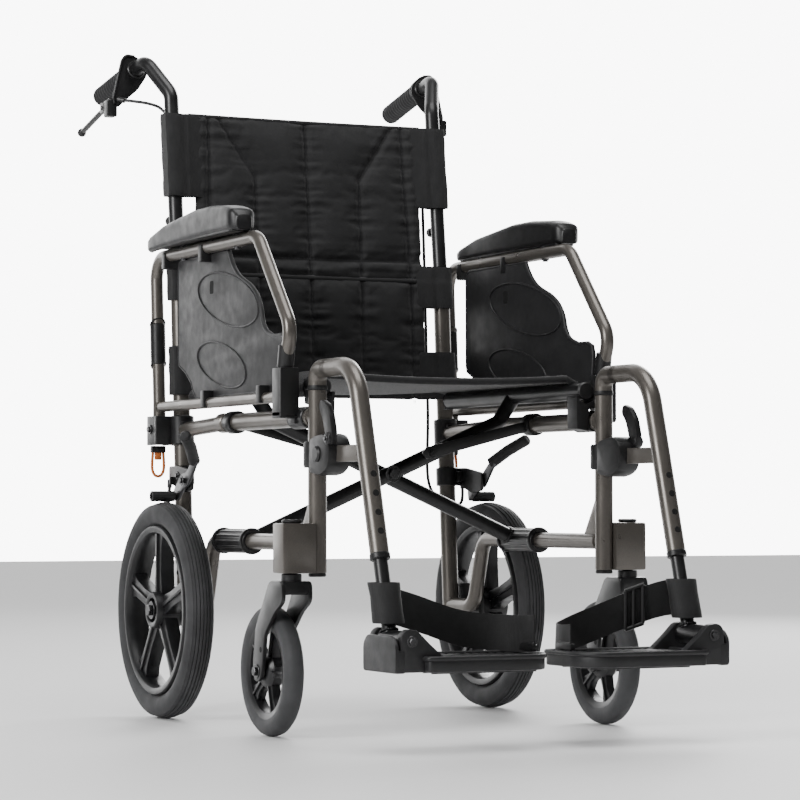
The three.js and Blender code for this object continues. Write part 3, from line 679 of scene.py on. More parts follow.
def brace():
    brace_arm(-1, "a", -212, (-225, -112))
    brace_arm(1, "b", -184, (-260, -154))
    ends = [bar((0, -222.6, BRACE_Z), (0, -173, BRACE_Z), 5)]
    ends += bolt((0, -223, BRACE_Z), (0, -1, 0), 8.2, 5)
    ends += bolt((0, -172.8, BRACE_Z), (0, 1, 0), 8.2, 6)
    make("brace_bolt_head", ends, STEEL, "arm_a", ["brace_bolt"])
    for side, tag, y, sleeve in ((1, "l", -240, (-250, -227)), (-1, "r", -160, (-170, -146))):
        shape = rounded([(side * FRAME_X, RAIL_Z - 8), (side * FRAME_X, RAIL_Z + 8), (side * 46, 400),
                         (side * 38, 391),
                         (side * 46, 382)], 4)
        make(f"brace_link_{tag}_bar", [
            plate(shape, "xz", y, 5, 0.8),
            collar(TUBE + 0.4, 16.5, 0.5, sleeve, (side * FRAME_X, 0, RAIL_Z)),
            *bolt((side * 54, y - 2.5, 391.5), (0, -1, 0), 5, 3),
        ], BLACK_METAL, f"link_{tag}", [f"brace_link_{tag}"])


# ---- push handles ----
def ribbed(side):
    """The grip's outline: a flange, then finger rings, then a rounded end."""
    shares = np.linspace(0.272, 1.0, 81)
    radii = []
    for k, t in enumerate(shares):
        if k < 4:
            radii.append(17.6 - 0.2 * k)
        elif k > 76:
            radii.append(15.4 - (k - 76) ** 2 * 0.55)
        else:
            radii.append(14.8 + 0.75 * math.cos(k * 2 * math.pi / 5))
    line = [np.array(on_grip(side, t)) for t in shares]
    way = unit(line[-1] - line[0])
    return loft(line, [way] * len(line), radii, 40, True)


def push_handle(side, tag):
    body = f"back_{tag}"
    foot = cane(side, BACK_HINGE[1] + 24)
    hy, hz = BACK_HINGE
    tongue = rounded([(foot[1] - 8, foot[2] + 8), (foot[1] + 8, foot[2] + 8), (hy + 8, hz - 8),
                      (hy - 8, hz - 8)],
                     [1, 1, 8, 8])
    make(f"upper_cane_{tag}_tube", [
        sweep([foot, cane(side, 945), on_grip(side, 0), on_grip(side, 0.3)], SLIM, 28, arc=12),
        plate(tongue, "yz", side * FRAME_X, 8, 0.6),
    ], BLACK_METAL, body, [f"upper_cane_{tag}"])
    make(f"grip_{tag}_rubber", [ribbed(side)], GRIP_RUBBER, body, [f"grip_{tag}"], smooth=60)
    fan = rounded([(side * x, z) for x, z in ((231, 1001), (246, 1014), (263, 1016), (271, 1008),
                                              (285, 948),
                                              (284, 937), (276, 932), (265, 943), (243, 962), (228, 985))],
                                              6)
    rim = [(side * x, 192.8, z) for x, z in ((250, 1013), (263, 1014.5), (270, 1006), (283.6, 947),
                                             (282, 938))]
    make(f"lever_bracket_{tag}_guard", [
        bar(on_grip(side, 0.2), on_grip(side, 0.262), 14.5, 1.2),
        plate(fan, "xz", 195, 4, 1.2),
        sweep(rim, 2.4, 8, 12),
        block((side * 277, side * 293), (193, 214), (918, 944), 2.5),
        block((side * 277, side * 280.4), (208, 230), (926, 942), 1.4),
        block((side * 289.6, side * 293), (208, 230), (926, 942), 1.4),
        bar((side * 275.6, *LEVER_PIVOT), (side * 294.4, *LEVER_PIVOT), 3.5, 0.5, 20),
        bar((side * 268, 184, 942.6), (side * 277, 193, 945), 4.4, 0.8, 20),
        *bolt((side * 285, 204, 944), (0, 0, 1), 3.6, 2.2),
    ], BLACK_METAL, body, [f"lever_bracket_{tag}"])
    blade = [(side * LEVER_X, 224, 934), (side * LEVER_X, 252, 929), (side * LEVER_X, *LEVER_TIP)]
    ball = both_ways([(0.01, -7), (2.6, -6.5), (4.9, -5), (6.5, -2.7), (7, 0)])
    make(f"brake_lever_{tag}_blade", [
        sweep(blade, 4.6, 30, 20, flat=0.8),
        lathe(ball, (side * LEVER_X, *LEVER_TIP), "z", 24, closed=False),
        bar((side * (LEVER_X - 4), *LEVER_PIVOT), (side * (LEVER_X + 4), *LEVER_PIVOT), 7.5, 0.8, 28),
    ], BLACK_METAL, f"hand_lever_{tag}", [f"brake_lever_{tag}"], smooth=50)
    y = cane(side, 750)[1]
    x = side * FRAME_X
    make(f"back_knob_{tag}_cap", [
        bar((x, y + 10, 750), (x, y + 18, 750), 3.5, 0.4, 20),
        lathe([(0.01, y + 17.5), (6.5, y + 17.5), (7.5, y + 19), (6.2, y + 23), (7.5, y + 27),
               (6.5, y + 29),
               (0.01, y + 29.4)], (x, 0, 750), "y", 32, closed=False),
    ], BLACK_PLASTIC, f"knob_{tag}", [f"back_knob_{tag}"])


def brake_cable(side, tag):
    """From the lever bracket into the upholstery and down to the parking brake."""
    route = [(273, 189.5, 944), (240, 152, 935), (226, 128, 922), (210, 120, 892), (205, 96, 690),
             (205, 84, 470),
             (207, 84, 350), (240, 77, 320), (246, 48, 320), (246, 43, 352)]
    pts = [(side * x, y, z) for x, y, z in route]
    extra = [tuple(np.array(pts[3]) + (np.array(pts[4]) - np.array(pts[3])) * k / 12) for k in range(1, 12)]
    cable = make(f"brake_cable_{tag}_sheath", [dense_sweep(pts[:4] + extra + pts[4:], 2.5)], CABLE,
                 None, [f"brake_cable_{tag}"])
    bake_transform(cable)
    ferrule = [bar((side * 246, 42.6, 354), (side * 246, 44, 342), 3.6, 0.6, 18)]
    make(f"cable_ferrule_{tag}", ferrule, STEEL, f"frame_{tag}")


def dense_sweep(pts, radius):
    """A tube along a smooth curve through points, with a ring every few millimetres."""
    line = smooth_line(pts, 10)
    ways = [unit(b - a) for a, b in zip(line[:-1], line[1:])]
    return loft(line, ways + ways[-1:], radius, 14, True)


def smooth_line(pts, steps):
    """Catmull-Rom through the points."""
    p = [np.array(q, float) for q in pts]
    p = [2 * p[0] - p[1]] + p + [2 * p[-1] - p[-2]]
    out = []
    for a, b, c, d in zip(p, p[1:], p[2:], p[3:]):
        for k in range(steps):
            t = k / steps
            out.append(0.5 * (2 * b + (c - a) * t + (2 * a - 5 * b + 4 * c - d) * t * t
                              + (3 * b - a - 3 * c + d) * t ** 3))
    out.append(p[-2])
    return out


def m3(x, y, z):
    return tuple(place([(x, y, z)])[0])


# ---- armrests ----
def arm_pad_mesh(side):
    """A crowned pad, lofted from rounded sections along y."""
    top = [(-284, 722), (-278, 731), (-255, 738), (-190, 743), (-130, 743), (-8, 731), (50, 718), (66, 708)]
    ys = np.concatenate([[-284, -283.4, -281.6, -278, -271], np.linspace(-262, 30, 26),
                         [44, 54, 61, 65, 66.4]])
    verts = []
    n = 28
    for y in ys:
        high = np.interp(y, [t[0] for t in top], [t[1] for t in top])
        end = min((y + 284.3) / 14, (66.7 - y) / 22, 1)
        half = 19.6 * math.sqrt(max(1 - (1 - end) ** 2.6, 0.3))
        for k in range(n):
            a = k * 2 * math.pi / n
            c, sn = math.cos(a), math.sin(a)
            x = half * math.copysign(abs(c) ** 0.34, c)
            low = 702.6 - np.interp(y, [-200, 66], [0, 6]) * min(1, max(0, x * side + 2) / 4)
            z = (high + low) / 2 + (high - low) / 2 * math.copysign(abs(sn) ** 0.42, sn)
            if sn > 0:
                z += 1.6 * (1 - (x / half) ** 2)
            verts.append((side * 260 + x, y, z))
    return np.array(verts), ring_faces(len(ys), n) + end_faces(len(ys), n)


def guard_outline():
    """The side panel: cut lower rear corner, and an S-shaped front edge."""
    curve = [(-181, 681), (-190, 668), (-202, 655), (-219, 643), (-240, 634), (-264, 625), (-286, 611),
             (-300, 593),
             (-307, 574), (-320, 559), (-346, 550)]
    s_edge = [(q[0], q[1]) for q in smooth_line([(y, z, 0) for y, z in curve], 3)]
    return ([(-388, 473), (-58, 473), (-46, 484), (-37, 497), (-14, 513), (12, 524), (15, 534), (16, 668),
             (13, 677),
             (4, 681)] + s_edge + [(-374, 550), (-386, 546), (-390, 534)])


def ring_bead(centre, radii, tilt, x, bead):
    """A raised ellipse on a side panel."""
    cy, cz = centre
    line, ways = [], []
    n = 72
    ct, st = math.cos(tilt), math.sin(tilt)
    for k in range(n + 1):
        a = k * 2 * math.pi / n
        u, v = radii[0] * math.cos(a), radii[1] * math.sin(a)
        du, dv = -radii[0] * math.sin(a), radii[1] * math.cos(a)
        line.append(np.array([x, cy + u * ct - v * st, cz + u * st + v * ct]))
        ways.append(unit(np.array([0, du * ct - dv * st, du * st + dv * ct])))
    return loft(line, ways, bead, 8, False)


def armrest(side, tag):
    body = f"armrest_{tag}"

    def at(y, z):
        return (side * ARM_X, y, z)
    make(f"arm_frame_{tag}_tube", [
        sweep([at(83, 420), at(83, 470), at(96, 660), at(94, 691), at(-305, 692), at(-424, 556),
               at(-405, 515),
               at(-402, 455)], ARM_TUBE, 34),
        bar(at(84, 464), at(-403, 464), 8),
        weld_bead(at(-395, 464), (0, 1, 0), 8, 1.3),
        weld_bead(at(76, 464), (0, 1, 0), 8, 1.3),
    ], BRONZE, body, [f"arm_frame_{tag}"])
    pad = make(f"arm_pad_{tag}_skin", [arm_pad_mesh(side)], PAD, body, [f"arm_pad_{tag}"], smooth=60)
    make(f"arm_pad_base_{tag}", [
        plate(rounded([(side * 244, -272), (side * 276, -272), (side * 276, 50), (side * 244, 50)], 8),
              "xy",
              702.6, 3.2, 0.8),
        bar(at(-230, 690), at(-230, 702), 6, 0.6, 20), bar(at(-20, 690), at(-20, 702), 6, 0.6, 20),
    ], BLACK_PLASTIC, body)
    screws = []
    for y in (-230, -20):
        screws += bolt(at(y, 682.8), (0, 0, -1), 4.2, 2.4)
    make(f"arm_pad_screws_{tag}", screws, DARK_STEEL, body)
    outline = guard_outline()
    parts = [plate(outline, "yz", side * GUARD_X, 5.2, 1.0),
             closed_bead([np.array([side * GUARD_X, y, z]) for y, z in outline], 3.3)]
    for x in (side * (GUARD_X + 2.7), side * (GUARD_X - 2.7)):
        parts.append(ring_bead((-182, 611), (117, 36), 0.2, x, 1.7))
        parts.append(ring_bead((-158, 518), (95, 30), 0.2, x, 1.7))
    make(f"side_guard_{tag}_panel", parts, GUARD, body, [f"side_guard_{tag}"])
    # painted shade where the side panel's slot opens, on both faces
    slots = [plate(rounded([(-126, 623), (-112, 623), (-112, 642), (-126, 642)], 4), "yz",
                   side * (GUARD_X + way * 2.5), 0.5, 0) for way in (-1, 1)]
    make(f"side_guard_slot_shade_{tag}", slots, HOLE_SHADE, body)
    clips = []
    for y, z in ((40, 683), (-110, 683), (-330, 470), (-120, 470)):
        clips.append(block((side * (ARM_X - 11), side * (ARM_X + 11)), (y - 7, y + 7), (z - 13, z + 12), 2))
    for z in (529, 591):
        y = 83 + (z - 470) * 0.0684
        clips.append(bar(at(y - 1, z - 1), at(y + 1, z + 1), 12.4, 0.8))
    clips.append(bar(at(87.5, 529), at(91.5, 591), 11.6, 1.4))
    clips.append(bar(at(-409, 534), at(-402.5, 503), 11.6, 1.2))
    clips.append(bar(at(83, 419.5), at(83, 424), 9.6, 0.6))
    make(f"armrest_clips_{tag}", clips, BLACK_PLASTIC, body)


def arm_mounts(side, tag):
    body = f"frame_{tag}"
    post = rear_post(side, 428)
    collar = bar(rear_post(side, 406), rear_post(side, 450), 18.2, 1.6)
    make(f"arm_clamp_{tag}_yoke", [
        collar,
        block((side * 232, side * 263), (56, 67), (406, 450), 2.4),
        block((side * 233.6, side * 238), (58, 98), (406, 450), 1.4),
        block((side * 258, side * 262.6), (58, 98), (406, 450), 1.4),
        bar((side * 231, *ARM_HINGE), (side * 266, *ARM_HINGE), 3.6, 0.6, 20),
        block((side * (FRAME_X - 8), side * (FRAME_X + 8)), (post[1] - 24, post[1] - 14), (414, 442), 2),
    ], BLACK_PLASTIC, body, [f"arm_clamp_{tag}"])
    heads = bolt((side * 263, *ARM_HINGE), (side, 0, 0), 5, 3)
    heads += bolt((side * FRAME_X, post[1] - 24, 428), (0, -1, 0), 4, 2.4)
    make(f"arm_clamp_bolts_{tag}", heads, STEEL, body)
    make(f"arm_socket_{tag}_cup", [
        block((side * 234.6, side * 238), (-418, -389), (436, 503), 1.4),
        block((side * 258, side * 262), (-418, -389), (436, 503), 1.4),
        block((side * 234.6, side * 262), (-419.5, -415.6), (436, 503), 1.2),
        block((side * 234.6, side * 262), (-418, -389), (434, 444), 2),
        bar((side * FRAME_X, -430, RAIL_Z), (side * FRAME_X, -380, RAIL_Z), TUBE + 2.6, 1.4),
        block((side * 226, side * 240), (-416, -392), (426, 446), 2),
    ], BLACK_PLASTIC, body, [f"arm_socket_{tag}"])
    x = side * ARM_X
    loop = [(x - 8, 88, 402), (x - 9.4, 88, 372), (x - 4.4, 88, 360.6), (x + 4.4, 88, 360.6),
            (x + 9.4, 88, 372),
            (x + 8, 88, 402)]
    tab = block((x - 5, x + 5), (84.6, 91.4), (384, 397), 1.6)
    make(f"arm_release_{tag}_loop", [dense_sweep(loop, 2.3), tab], ORANGE, f"release_{tag}",
         [f"arm_release_{tag}"], smooth=50)
    make(f"arm_release_tab_{tag}", [block((x - 11, x + 11), (83, 93), (395, 405.4), 1.6)], BLACK_PLASTIC,
         f"release_{tag}")


# ---- legrests ----
def legrest(side, tag):
    def at(y, z):
        return (side * FRAME_X, y, z)
    body = f"leg_{tag}"
    down = unit(np.array(leg(side, 200)) - np.array(leg(side, 300)))
    make(f"hanger_{tag}_tube", [
        sweep([at(POST_Y, POST_TOP + 5), at(POST_Y, 500), at(-500, 500)], TUBE, 17, arc=12),
        sweep([at(-486, 500), at(-578, 500), leg(side, 247)], TUBE, 60, arc=18),
        block((side * FRAME_X - 5, side * FRAME_X + 5), (-606, POST_Y - 12), (373, 395), 1.6),
        weld_bead((side * FRAME_X, -605, 384), (0, 1, 0.3), 9, 1.6),
    ], BRONZE, body, [f"hanger_{tag}"])
    make(f"hanger_collar_{tag}", [
        lathe([(TUBE + 0.5, 366), (17.4, 366), (19, 368.5), (19, 399), (17.4, 401.5), (TUBE + 0.5, 401.5)],
              (side * FRAME_X, POST_Y, 0), "z", 48),
        plate(rounded([(POST_Y - 6, 358), (-500, 354), (-526, 366), (-530, 396), (-514, 412), (-480, 410),
                       (POST_Y - 6, 404)], 12), "yz", side * FRAME_X, 36, 8),
        bar((side * (FRAME_X + 16), -492, 384), (side * (FRAME_X + 21.5), -492, 384), 11, 2.4, 40),
        lathe([(9, POST_TOP + 0.3), (13.6, POST_TOP + 0.3), (14, POST_TOP + 1.4), (13.4, POST_TOP + 6),
               (9, POST_TOP + 6)],
              (side * FRAME_X, POST_Y, 0), "z", 48),
        bar(tuple(np.array(leg(side, 250)) - down * 3), tuple(np.array(leg(side, 247)) + down * 2), 13.6,
            1),
    ], BLACK_PLASTIC, body)
    # painted shade in the hanger tube's adjustment holes, front and back
    marks = []
    for z in (353, 328, 303, 279):
        for way in (-1, 1):
            facing = np.array([0, down[2], -down[1]]) * way
            marks.append(hole_shade_disc(tuple(np.array(leg(side, z)) + facing * (TUBE - 0.35)), tuple(facing),
                                   4.4))
    make(f"hanger_hole_shade_{tag}", marks, HOLE_SHADE, body)
    shape = rounded([(-533, 396), (-518, 394), (-510, 414), (-503, 432), (-490, 446), (-496, 458),
                     (-514, 452),
                     (-528, 436), (-536, 412)], 6)
    make(f"hanger_latch_{tag}_lever", [
        plate(shape, "yz", side * (FRAME_X + 11), 9, 2.6),
        bar((side * 228, *LATCH_PIN), (side * 241, *LATCH_PIN), 8.6, 1.2, 32),
    ], BLACK_PLASTIC, f"latch_{tag}", [f"hanger_latch_{tag}"], smooth=50)
    make(f"hanger_latch_pin_{tag}", bolt((side * 241, *LATCH_PIN), (side, 0, 0), 3.6, 2), STEEL,
         f"latch_{tag}")
    hinge = (side * FRAME_X, 0, FOOT_Z)
    make(f"leg_extension_{tag}_tube", [
        bar(leg(side, 325), leg(side, 148), ARM_TUBE),
        bar((hinge[0], -735, FOOT_Z), (hinge[0], -668, FOOT_Z), 13, 1),
        weld_bead(leg(side, 155), tuple(-down), ARM_TUBE + 0.5, 1.6),
    ], BLACK_METAL, f"extension_{tag}", [f"leg_extension_{tag}"])
    ends = bolt((hinge[0], -750.4, FOOT_Z), (0, -1, 0), 5, 2.6)
    ends += bolt((hinge[0], -652.6, FOOT_Z), (0, 1, 0), 5, 2.6)
    make(f"footplate_bolt_{tag}", ends, STEEL, f"plate_{tag}")


def footplate(side, tag):
    """A moulded plate with a raised rim, treads on top, and a hinge block on its outer end."""
    body = f"plate_{tag}"
    plan = rounded([(side * x, y) for x, y in ((204, -653), (40, -645), (20, -650), (22, -735), (44, -764),
                                               (204, -764))],
                   [6, 10, 14, 26, 22, 6])
    parts = [plate(plan, "xy", 112, 16, 2.4), closed_bead([np.array([x, y, 121.5]) for x, y in plan], 3.4)]
    for x in np.arange(40, 186, 12):
        parts.append(block((side * x, side * (x + 5)), (-754, -660), (119, 122.4), 0.8))
    cheek = rounded([(side * 238, FOOT_Z - 12), (side * 236, FOOT_Z + 10), (side * 228, FOOT_Z + 16),
                     (side * 214, FOOT_Z + 14), (side * 198, FOOT_Z - 2), (side * 176, 122),
                     (side * 160, 120),
                     (side * 160, 104), (side * 238, 104)], 5)
    for y in (-743.5, -660):
        parts.append(plate(cheek, "xz", y, 14, 1.8))
    parts.append(block((side * 160, side * 206), (-750, -653), (104, 118), 2))
    outer = rounded([(-751, 103), (-652, 103), (-652, 138), (-664, 150), (-739, 150), (-751, 138)], 6)
    parts.append(plate(outer, "yz", side * 243, 5, 1.6))
    parts.append(block((side * 232, side * 244), (-751, -738), (103, 132), 2))
    parts.append(block((side * 232, side * 244), (-665, -652), (103, 132), 2))
    make(f"footplate_{tag}_shell", parts, FOOT_PLASTIC, body, [f"footplate_{tag}"])
    ribs = [block((side * 40, side * 190), (y - 1.5, y + 1.5), (101, 105.4), 0.6) for y in (-740, -715,
                                                                                            -690, -665)]
    make(f"footplate_ribs_{tag}", ribs, FOOT_PLASTIC, body)


def heel_strap(side, tag):
    """A flat band from the inner tube round to the footplate, and the sleeve that holds it."""
    section = [(-0.5, -0.4), (-0.25, -0.5), (0, -0.5), (0.25, -0.5), (0.5, -0.4), (0.5, 0.4), (0.25, 0.5),
               (0, 0.5),
               (-0.25, 0.5), (-0.5, 0.4)]
    sleeve_mid = leg(side, 190)
    path = [(222, -650), (196, -643), (150, -633), (110, -628), (80, -629), (54, -637), (36, -654),
            (28, -680),
            (27, -712)]
    lows = [190, 184, 171, 158, 151, 148, 147, 147, 149] if side < 0 else [192, 187, 172, 157, 147, 139,
                                                                           135, 134, 136]
    pts = [(side * x, y, z) for (x, y), z in zip(path, lows)]
    line = smooth_line(pts, 8)
    verts = []
    for i, p in enumerate(line):
        t = unit((line[min(i + 1, len(line) - 1)] - line[max(i - 1, 0)]) * (1, 1, 0))
        flat = np.array([-t[1], t[0], 0.0])
        tilt = 0.12 * math.sin(i / len(line) * math.pi)
        for a, b in section:
            wave = 0.9 * noise.noise(Vector(p) / 40 + Vector((a * 2, 0, 3.0 * side)))
            verts.append(p + np.array([0, 0, a * STRAP_WIDTH]) + flat * (b * 2.2 + a * tilt * 30 + wave))
    faces = ring_faces(len(line), len(section)) + end_faces(len(line), len(section))
    band = make(f"heel_strap_{tag}_band", [(np.array(verts), faces)], WEBBING, None, [f"heel_strap_{tag}"],
                smooth=60)
    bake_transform(band)
    ring = [np.array((side * FRAME_X + 20 * math.cos(a), sleeve_mid[1] - 1 + 17.5 * math.sin(a), 190))
            for a in np.linspace(0, 2 * math.pi, 33)[:-1]]
    lean = 0.3
    profile = ((-26, -1.2), (-26, 1.2), (-24, 1.6), (-8, 0.9), (8, 0.8), (24, 1.6), (26, 1.2), (26, -1.2))
    verts = []
    for p in ring:
        outward = unit(np.array([p[0] - side * FRAME_X, p[1] - sleeve_mid[1], 0]))
        for z, r in profile:
            wave = 0.8 * noise.noise(Vector((p[0], p[1], z)) / 18)
            verts.append(p + np.array([0, lean * z, z]) + outward * (r + wave))
    faces = ring_faces(len(ring), len(profile), loop=True)
    make(f"heel_sleeve_{tag}", [(np.array(verts), faces)], WEBBING, f"extension_{tag}", smooth=50)
    anchor = [block((side * 24, side * 31), (-716, -676), (126, 134), 1.4)]
    anchor.append(bar((side * 27.5, -712, 134), (side * 27.5, -680, 134), 3, 0.5, 16))
    make(f"heel_anchor_{tag}", anchor, BLACK_PLASTIC, f"plate_{tag}")
    if side > 0:
        make("heel_buckle_l", [
            *[bar((x, y, z), (x, y, z + 52), radius, 0.8, 16)
              for x, y, z, radius in ((152, -636, 147, 3), (163, -638.6, 151, 2.6), (176, -641.4, 156, 3))],
            *[bar((151, -636, z), (177, -641.6, z + 9), 3, 0.8, 16) for z in (199, 147)],
        ], BLACK_PLASTIC, "extension_l")


# ---- parking brakes ----
def parking_brake(side, tag):
    shape = rounded([(-37, 338), (-5, 334), (40, 346), (56, 346), (56, 374), (20, 374), (-37, 366)], 6)
    y = rear_post(side, 360)[1]
    make(f"brake_bracket_{tag}_plate", [
        plate(shape, "yz", side * 240.4, 4.4, 1),
        bar(rear_post(side, 346), rear_post(side, 374), 17, 1.2),
        block((side * 238, side * 249), (33, 39.6), (346, 358), 1.2),
        bar((side * 240, *PARK_PIVOT), (side * 251, *PARK_PIVOT), 4, 0.5, 20),
        block((side * 230, side * 240), (y - 22, y - 12), (352, 368), 1.6),
    ], BLACK_METAL, f"frame_{tag}", [f"brake_bracket_{tag}"])
    heads = bolt((side * 251, *PARK_PIVOT), (side, 0, 0), 5, 2.6) + bolt((side * 242.6, 20, 360),
                                                                         (side, 0, 0), 4, 2.4)
    make(f"brake_bracket_bolts_{tag}", heads, STEEL, f"frame_{tag}")
    x = side * 245.9
    arm = rounded([(19, 322), (22, 338), (-11, 362), (-29, 364), (-62, 388), (-70, 379), (-35, 344),
                   (-19, 340),
                   (8, 322)], 4)
    make(f"parking_lever_{tag}_arm", [
        plate(arm, "yz", x, 4.6, 1),
        bar((x, *PARK_SHOE), (side * 282, *PARK_SHOE), 5),
    ], DARK_STEEL, f"park_{tag}", [f"parking_lever_{tag}"])
    knurl = [(7.5 + (0.5 if k % 2 else 0), side * h) for k, h in enumerate(np.linspace(250, 286, 25))]
    make(f"parking_shoe_{tag}", [
        lathe([(4.6, side * 250)] + knurl + [(4.6, side * 286)], (0, *PARK_SHOE), "x", 40),
        sweep([(x, -57, 380.5), (side * 262, -84, 400), (side * 280, -108, 415.6)], 8.8, 40, 32),
        bar((side * 279.4, -107, 415), (side * 281.6, -110.4, 417.2), 8, 2.2),
    ], GRIP_RUBBER, f"park_{tag}")


# ---- upholstery ----
QUILT_STEP = 4.2         # grid of the quilted sheets
QUILT_THICKNESS = 13


def simulate(obj, pinned, pressure, grow, cap, frames=16):
    """Cloth blown up between its pinned seams, then kept as plain vertices."""
    group = obj.vertex_groups.new(name="pin")
    group.add([int(i) for i in np.nonzero(pinned)[0]], 1.0, "REPLACE")
    before = np.array([v.co[:] for v in obj.data.vertices])
    mod = obj.modifiers.new("cloth", "CLOTH")
    cloth = mod.settings
    cloth.quality = 5
    cloth.mass = 0.2
    cloth.tension_stiffness = cloth.compression_stiffness = 14
    cloth.shear_stiffness = 5
    cloth.bending_stiffness = 0.35
    cloth.use_pressure = True
    cloth.uniform_pressure_force = pressure
    cloth.shrink_min = cloth.shrink_max = -grow
    cloth.vertex_group_mass = "pin"
    cloth.effector_weights.gravity = 0
    mod.collision_settings.use_collision = False
    mod.point_cache.frame_start, mod.point_cache.frame_end = 1, frames
    for f in range(1, frames + 1):
        bpy.context.scene.frame_set(f)
    result = obj.evaluated_get(bpy.context.evaluated_depsgraph_get()).data
    after = np.array([v.co[:] for v in result.vertices])
    move = after - before
    size = np.linalg.norm(move, axis=1, keepdims=True)
    after = before + move * np.minimum(1, cap / np.maximum(size, 1e-9))
    obj.modifiers.remove(mod)
    obj.vertex_groups.remove(group)
    bpy.context.scene.frame_set(1)
    return after


def seam_distance(x, z, seams):
    """How far a point of the panel is from the nearest seam."""
    best = 1e9
    for a, b in seams:
        a, b = np.array(a, float), np.array(b, float)
        t = np.clip(((x - a[0]) * (b - a)[0] + (z - a[1]) * (b - a)[1]) / ((b - a) @ (b - a)), 0, 1)
        best = min(best, math.hypot(x - a[0] - t * (b - a)[0], z - a[1] - t * (b - a)[1]))
    return best


def panel(name, z_range, surface, seams, body, node):
    """A quilted back panel: front and back sheets joined at the edge and held at the seams."""
    step, x_range = QUILT_STEP, (-WEB, WEB)
    xs = np.linspace(*x_range, round((x_range[1] - x_range[0]) / step) + 1)
    zs = np.linspace(*z_range, round((z_range[1] - z_range[0]) / step) + 1)
    verts, pinned, gaps = [], [], []
    for layer in (-1, 1):
        for z in zs:
            for x in xs:
                gap = seam_distance(x, z, seams)
                border = min(x - xs[0], xs[-1] - x, z - zs[0], zs[-1] - z)
                full = QUILT_THICKNESS / 2 * min(1, 0.3 + min(gap, border) / 14)
                p = surface(x, z, layer * full)
                verts.append(p)
                pinned.append(gap < step * 0.52 or border < step * 0.5)
                gaps.append(gap)
    obj = make(name, [(np.array(verts), layer_faces(len(xs), len(zs)))], NYLON, None, [node], smooth=70)
    moved = simulate(obj, np.array(pinned), pressure=3.2, grow=0.01, cap=0.009)
    obj.data.vertices.foreach_set("co", moved.ravel())
    pucker(obj, gaps)
    mod = obj.modifiers.new("finer", "SUBSURF")
    mod.levels = mod.render_levels = 1
    apply_modifiers(obj)
    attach(obj, body)
    return obj


def pucker(obj, gaps):
    """Short folds that run off each seam, where the thread draws the cloth in."""
    co = np.array([v.co[:] for v in obj.data.vertices])
    nrm = np.array([v.normal[:] for v in obj.data.vertices])
    for i, (p, gap) in enumerate(zip(co, gaps)):
        near = math.exp(-(gap / 22) ** 2) * min(1, gap / 4)
        ripple = noise.noise(Vector((p[0] * 7, 2.7, p[2] * 120))) + 0.7 * noise.noise(Vector((p[0] * 12,
                                                                                              9.1,
                                                                                              p[2] * 230)))
        co[i] += nrm[i] * (0.0042 * near * ripple - 0.003 * math.exp(-(gap / 3.4) ** 2))
    obj.data.vertices.foreach_set("co", co.ravel())
    obj.data.update()


def apply_modifiers(obj):
    bpy.context.view_layer.update()
    done = bpy.data.meshes.new_from_object(obj.evaluated_get(bpy.context.evaluated_depsgraph_get()))
    obj.modifiers.clear()
    obj.data = done
    obj.data.shade_smooth()


def stitches(name, runs, body, step=4.2, radius=0.42):
    """Rows of short thread dashes that follow each run of points."""
    parts = []
    for run in runs:
        for a, b in zip(run[:-1], run[1:]):
            a, b = np.array(a, float), np.array(b, float)
            count = max(1, int(np.linalg.norm(b - a) / step))
            for k in range(count):
                p = a + (b - a) * (k + 0.15) / count
                q = a + (b - a) * (k + 0.8) / count
                parts.append(loft([p, (p + q) / 2, q], [unit(b - a)] * 3,
                                  [radius * 0.6, radius, radius * 0.6], 5, True))
    return make(name, parts, THREAD, body, smooth=60)


BACK_SPLIT = 668         # the fold, at the back's hinge
SEAM_TOP = 698           # the seam that runs across
WEB = 190                # half the quilts' width


def belly(x):
    """The sling hangs back a little between its posts."""
    return 7 * (1 - (x / 210) ** 2)


def back_panels():
    def low(x, z, offset):
        return (x, lower_line(z) - 2 + belly(x) + offset, z)

    def high(x, z, offset):
        return (x, upper_line(z) - 2 + belly(x) + offset, z)
    uprights = [0, 86, -86, 170, -170]
    seams_low = [((x, 470), (x, BACK_SPLIT)) for x in uprights]
    lower = panel("back_lower_quilt", (481, BACK_SPLIT), low, seams_low, "frame_r", "back_lower_cover")
    seams_high = [((0, BACK_SPLIT), (0, 920)), ((-WEB, SEAM_TOP), (WEB, SEAM_TOP))]
    for side in (-1, 1):
        seams_high += [((side * 86, BACK_SPLIT), (side * 88, 824)), ((side * 88, 824), (side * 150, 916)),
                       ((side * 170, BACK_SPLIT), (side * 163, 916))]
    upper = panel("back_upper_quilt", (BACK_SPLIT, 914), high, seams_high, "back_r", "back_upper_cover")
    roll = make("back_fold_roll", [loft([np.array(low(x, BACK_SPLIT, 0)) for x in np.linspace(-WEB, WEB,
                                                                                              41)],
                                        [np.array([1.0, 0, 0])] * 41, 4.2, 20, True)], NYLON, "frame_r")
    hem = make("back_top_hem", [loft([np.array(high(x, 913, 0)) for x in np.linspace(-WEB - 6, WEB + 6,
                                                                                     61)],
                                     [np.array([1.0, 0, 0])] * 61, 3.4, 14, True)], NYLON, "back_r")
    rows_low, rows_high = [], []
    for (a, b), rows, surface in [(s, rows_low, low) for s in seams_low] + [(s, rows_high,
                                                                             high) for s in seams_high]:
        for layer in (-1, 1):
            rows.append([surface(a[0] + (b[0] - a[0]) * t, a[1] + (b[1] - a[1]) * t, layer * 2.6)
                         for t in np.linspace(0.02, 0.98, 24)])
    thread_low = stitches("back_lower_stitches", rows_low, "frame_r")
    thread_high = stitches("back_upper_stitches", rows_high, "back_r")
    for piece in (lower, upper, roll, hem, thread_low, thread_high):
        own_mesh(piece)


SLEEVE_REACH = 236.6     # just inboard of the side panels, which swing past


